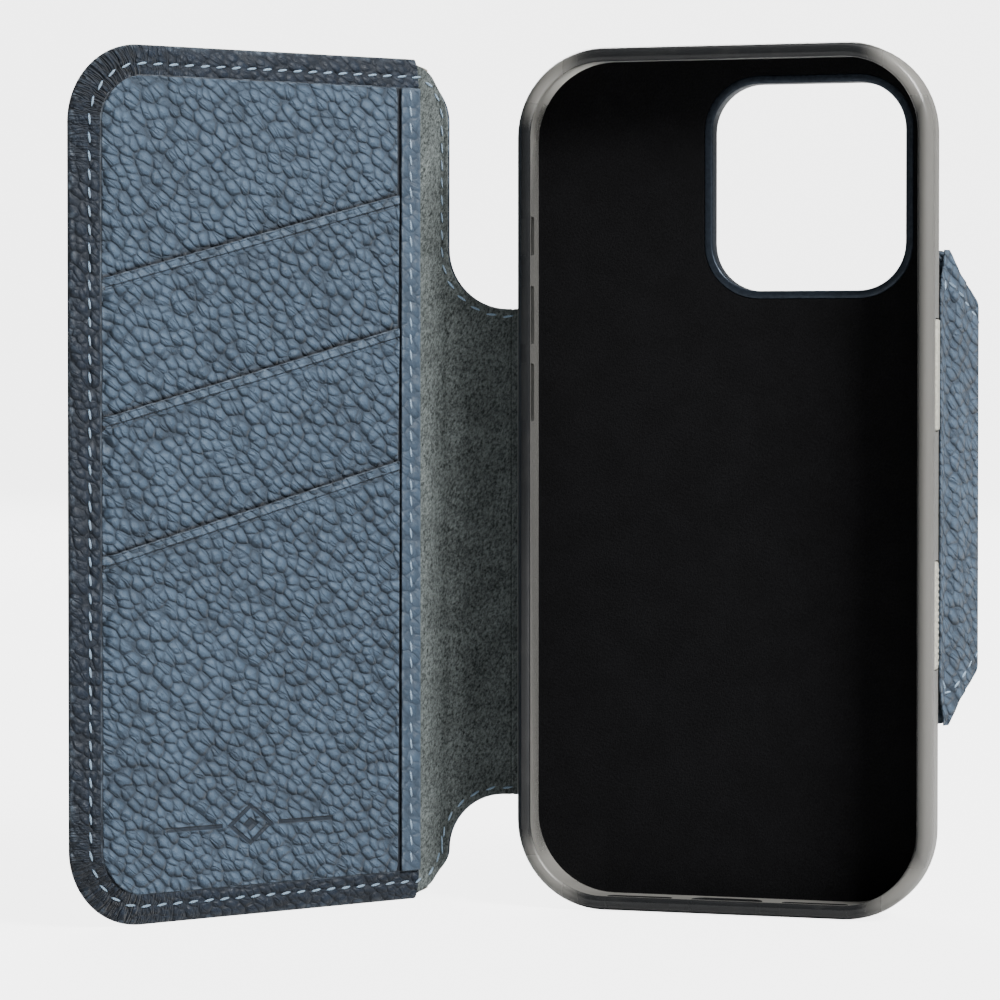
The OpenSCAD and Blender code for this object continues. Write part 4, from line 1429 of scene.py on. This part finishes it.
def wall_ring(bm, inset, depth, extra):
    """A rounded rectangle of edges at one step of the wall's section."""
    ends = inset + extra
    ring_mesh = cut_blank(outline_box(inset, ends, TRAY_W - inset, TRAY_H - ends,
                                      16.0 - inset), 16)
    known = set(bm.edges)
    add_mesh(bm, ring_mesh)
    edges = [e for e in bm.edges if e not in known]
    verts = {v for e in edges for v in e.verts}
    bmesh.ops.translate(bm, verts=list(verts), vec=(0, depth, 0))
    return edges


rings = [wall_ring(shell, *step) for step in wall_section]
bmesh.ops.delete(shell, geom=shell.faces[:], context="FACES_ONLY")
for first, second in zip(rings, rings[1:]):
    bmesh.ops.bridge_loops(shell, edges=first + second)
for rim in (rings[0], rings[-1]):
    bmesh.ops.contextual_create(shell, geom=rim)
bmesh.ops.recalc_face_normals(shell, faces=shell.faces[:])
print("bumper skin:", len(shell.faces), "faces, volume", round(shell.calc_volume()), "mm3")

# %% [markdown]
# The openings are punched through the finished skin in one Boolean: soft-cornered windows for
# the buttons, a port with a row of sound vents on each side, and the camera window.

# %% Punch its openings
BUTTON_Y = (3.2, 6.8)
buttons = {
    "side_button": (1, 86.0, 20.0), "camera_control_pad": (1, 44.0, 19.5),
    "volume_up_button": (-1, 101.5, 10.5), "volume_down_button": (-1, 87.5, 10.5),
    "action_button": (-1, 117.5, 7.0),
}


def soft_box(low, high, radius, segments=4):
    """A box between two corners with rounded edges."""
    bm = bmesh.new()
    low, high = Vector(low), Vector(high)
    size = high - low
    bmesh.ops.create_cube(bm, size=1, matrix=Matrix.Translation((low + high) / 2)
                          @ Matrix.Diagonal((size.x, size.y, size.z, 1)))
    if radius:
        bevel(bm, bm.edges[:], radius, segments, clamp=True)
    return bm


tools = [window_tool(9, 13)]
for side, z, length in buttons.values():
    x0, x1 = (TRAY_W - 3, TRAY_W + 3) if side > 0 else (-3, 3)
    tools.append(soft_box((x0, BUTTON_Y[0], z), (x1, BUTTON_Y[1], z + length), 0.6))
for middle, wide, tall in ((0, 13, 5), (-16, 12, 2.2), (16, 12, 2.2)):
    x = TRAY_W / 2 + middle
    tools.append(soft_box((x - wide / 2, 5.7 - tall / 2, -3), (x + wide / 2, 5.7 + tall / 2, 6),
                          tall / 2 - 0.02, 6))
shell = punch(shell, tools)
shell = finish_piece(shell, "bumper_tray", [BUMPER])
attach(shell, "tray")
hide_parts("clear_shell")

# %% [markdown]
# ## Buttons, camera frame and the parts inside
# Each button is a loose pad in its window, proud of the wall by 0.3 mm. The control pad is
# lower, so that the ribs across it end level with the others. The camera frame is a rounded
# rectangle of wall that passes through floor and back. Boards, magnets and the keeper are
# hidden, but they still get real finishes.

# %% Buttons
for name, (side, z, length) in buttons.items():
    outer = TRAY_W + 0.3 if side > 0 else -0.3
    if name == "camera_control_pad":
        outer = TRAY_W + 0.14
    x0, x1 = sorted((outer, outer - side * 1.2))
    pad = soft_box((x0, BUTTON_Y[0] + 0.25, z + 0.25),
                   (x1, BUTTON_Y[1] - 0.25, z + length - 0.25), 0.42, 4)
    if name == "camera_control_pad":
        for i in range(16):
            rib_z = z + 1.0 + i * 1.094
            rib = soft_box((outer - 0.3, BUTTON_Y[0] + 0.65, rib_z),
                           (outer + 0.12, BUTTON_Y[1] - 0.65, rib_z + 0.62), 0.11, 2)
            add_mesh(pad, rib)
    pad = finish_piece(pad, name + "_moulding", [BUTTON])
    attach(pad, name)
    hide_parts(name)

# %% [markdown]
# The camera frame is turned from the same outline as its window. An inset makes its opening,
# and a small bevel breaks its edges. The model's own boards and magnets stay inside.

# %% Camera frame and hidden parts
bezel = cut_blank(outline_box(*WINDOW), 12)
bmesh.ops.inset_region(bezel, faces=bezel.faces[:], thickness=1.5, use_even_offset=True,
                       use_boundary=True)
hole = max(bezel.faces, key=lambda face: len(face.verts))
bmesh.ops.delete(bezel, geom=[hole], context="FACES_ONLY")
thicken(bezel, 9.9, BACK_Y + 0.6)
bevel(bezel, sharp_edges(bezel), 0.35, 3)
bezel = finish_piece(bezel, "camera_frame", [BEZEL])
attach(bezel, "tray")
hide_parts("camera_bezel")

hidden = {"shell_liner": LINER, "back_board": BOARD, "spine_core": BOARD, "cover_board": BOARD,
          "tab_stiffener": BOARD, "magnet_ring": STEEL, "cover_keeper": STEEL,
          "tab_magnets": STEEL}
for node, material in hidden.items():
    slots = frame["nodes"][node].data.materials
    slots.clear()
    slots.append(material)
print("CAD nodes with new finishes:", ", ".join(hidden))

# %% [markdown]
# ## Studio
# A pale sweep of paper, one large soft box on the right and in front, weak ones on the left
# and above, and one behind for the back. The light grazes the spine, so the suede falls into
# the tray's shadow. The paper glows a little for the camera only, as a lit table does, and
# lights nothing.

# %% Paper sweep and lights
sweep = bmesh.new()
edge_points = [sweep.verts.new((x, -2.0, 0)) for x in (-3.0, 3.0)]
front_edge = sweep.edges.new(edge_points)
tip = edge_points + [front_edge]
tip = bmesh.ops.spin(sweep, geom=tip, cent=(0, 0, 0), axis=(1, 0, 0), dvec=(0, 4.0, 0),
                     angle=0, steps=1)["geom_last"]
tip = bmesh.ops.spin(sweep, geom=tip, cent=(0, 2.0, 0.8), axis=(1, 0, 0), dvec=(0, 0, 0),
                     angle=quarter, steps=24)["geom_last"]
bmesh.ops.spin(sweep, geom=tip, cent=(0, 0, 0), axis=(1, 0, 0), dvec=(0, 0, 2.5),
               angle=0, steps=1)
bmesh.ops.recalc_face_normals(sweep, faces=sweep.faces[:])
floor = to_object(sweep, "paper_sweep")
floor.data.shade_smooth()
paper, tree, shader = new_material("pale paper")
fibre = put(tree, "ShaderNodeTexNoise", {"Vector": object_mm(tree), "Scale": 0.02})
tree.links.new(blend_colours(tree, fibre.outputs[0], (0.57, 0.57, 0.57, 1),
                             (0.59, 0.59, 0.59, 1)), shader.inputs["Base Color"])
shader.inputs["Roughness"].default_value = 0.95
shader.inputs["Specular IOR Level"].default_value = 0.1
shader.inputs["Emission Color"].default_value = (1, 1, 1, 1)
seen = put(tree, "ShaderNodeLightPath").outputs["Is Camera Ray"]
tree.links.new(times(tree, seen, 4.3), shader.inputs["Emission Strength"])
floor.data.materials.append(paper)


def soft_light(name, place, aim, size, watts):
    data = bpy.data.lights.new(name, "AREA")
    data.shape = "RECTANGLE"
    data.size, data.size_y = size
    data.energy = watts
    light = bpy.data.objects.new(name, data)
    bpy.context.scene.collection.objects.link(light)
    light.location = place
    light.rotation_euler = (Vector(aim) - Vector(place)).to_track_quat("-Z", "Y").to_euler()


soft_light("soft_box_right", (1.2, -0.62, 1.15), (0.0, 0, 0.08), (0.6, 0.7), 57)
soft_light("soft_box_left", (-1.1, -1.4, 1.1), (0, 0, 0.07), (0.8, 0.8), 0.4)
soft_light("soft_box_top", (0.3, 0.2, 1.7), (0, 0, 0.05), (1.2, 1.2), 4)
soft_light("soft_box_rear", (-0.7, 1.5, 1.1), (0, 0, 0.08), (1.0, 1.0), 30)
world = bpy.data.worlds.new("even surround")
bpy.context.scene.world = world
world.use_nodes = True
world.node_tree.nodes["Background"].inputs[0].default_value = (1, 1, 1, 1)
world.node_tree.nodes["Background"].inputs[1].default_value = 0.05
print("studio ready")

# %% [markdown]
# ## Last update
# The view layer is brought up to date once more. The finished looks must not outgrow
# the model.

# %% Update the view layer
bpy.context.view_layer.update()
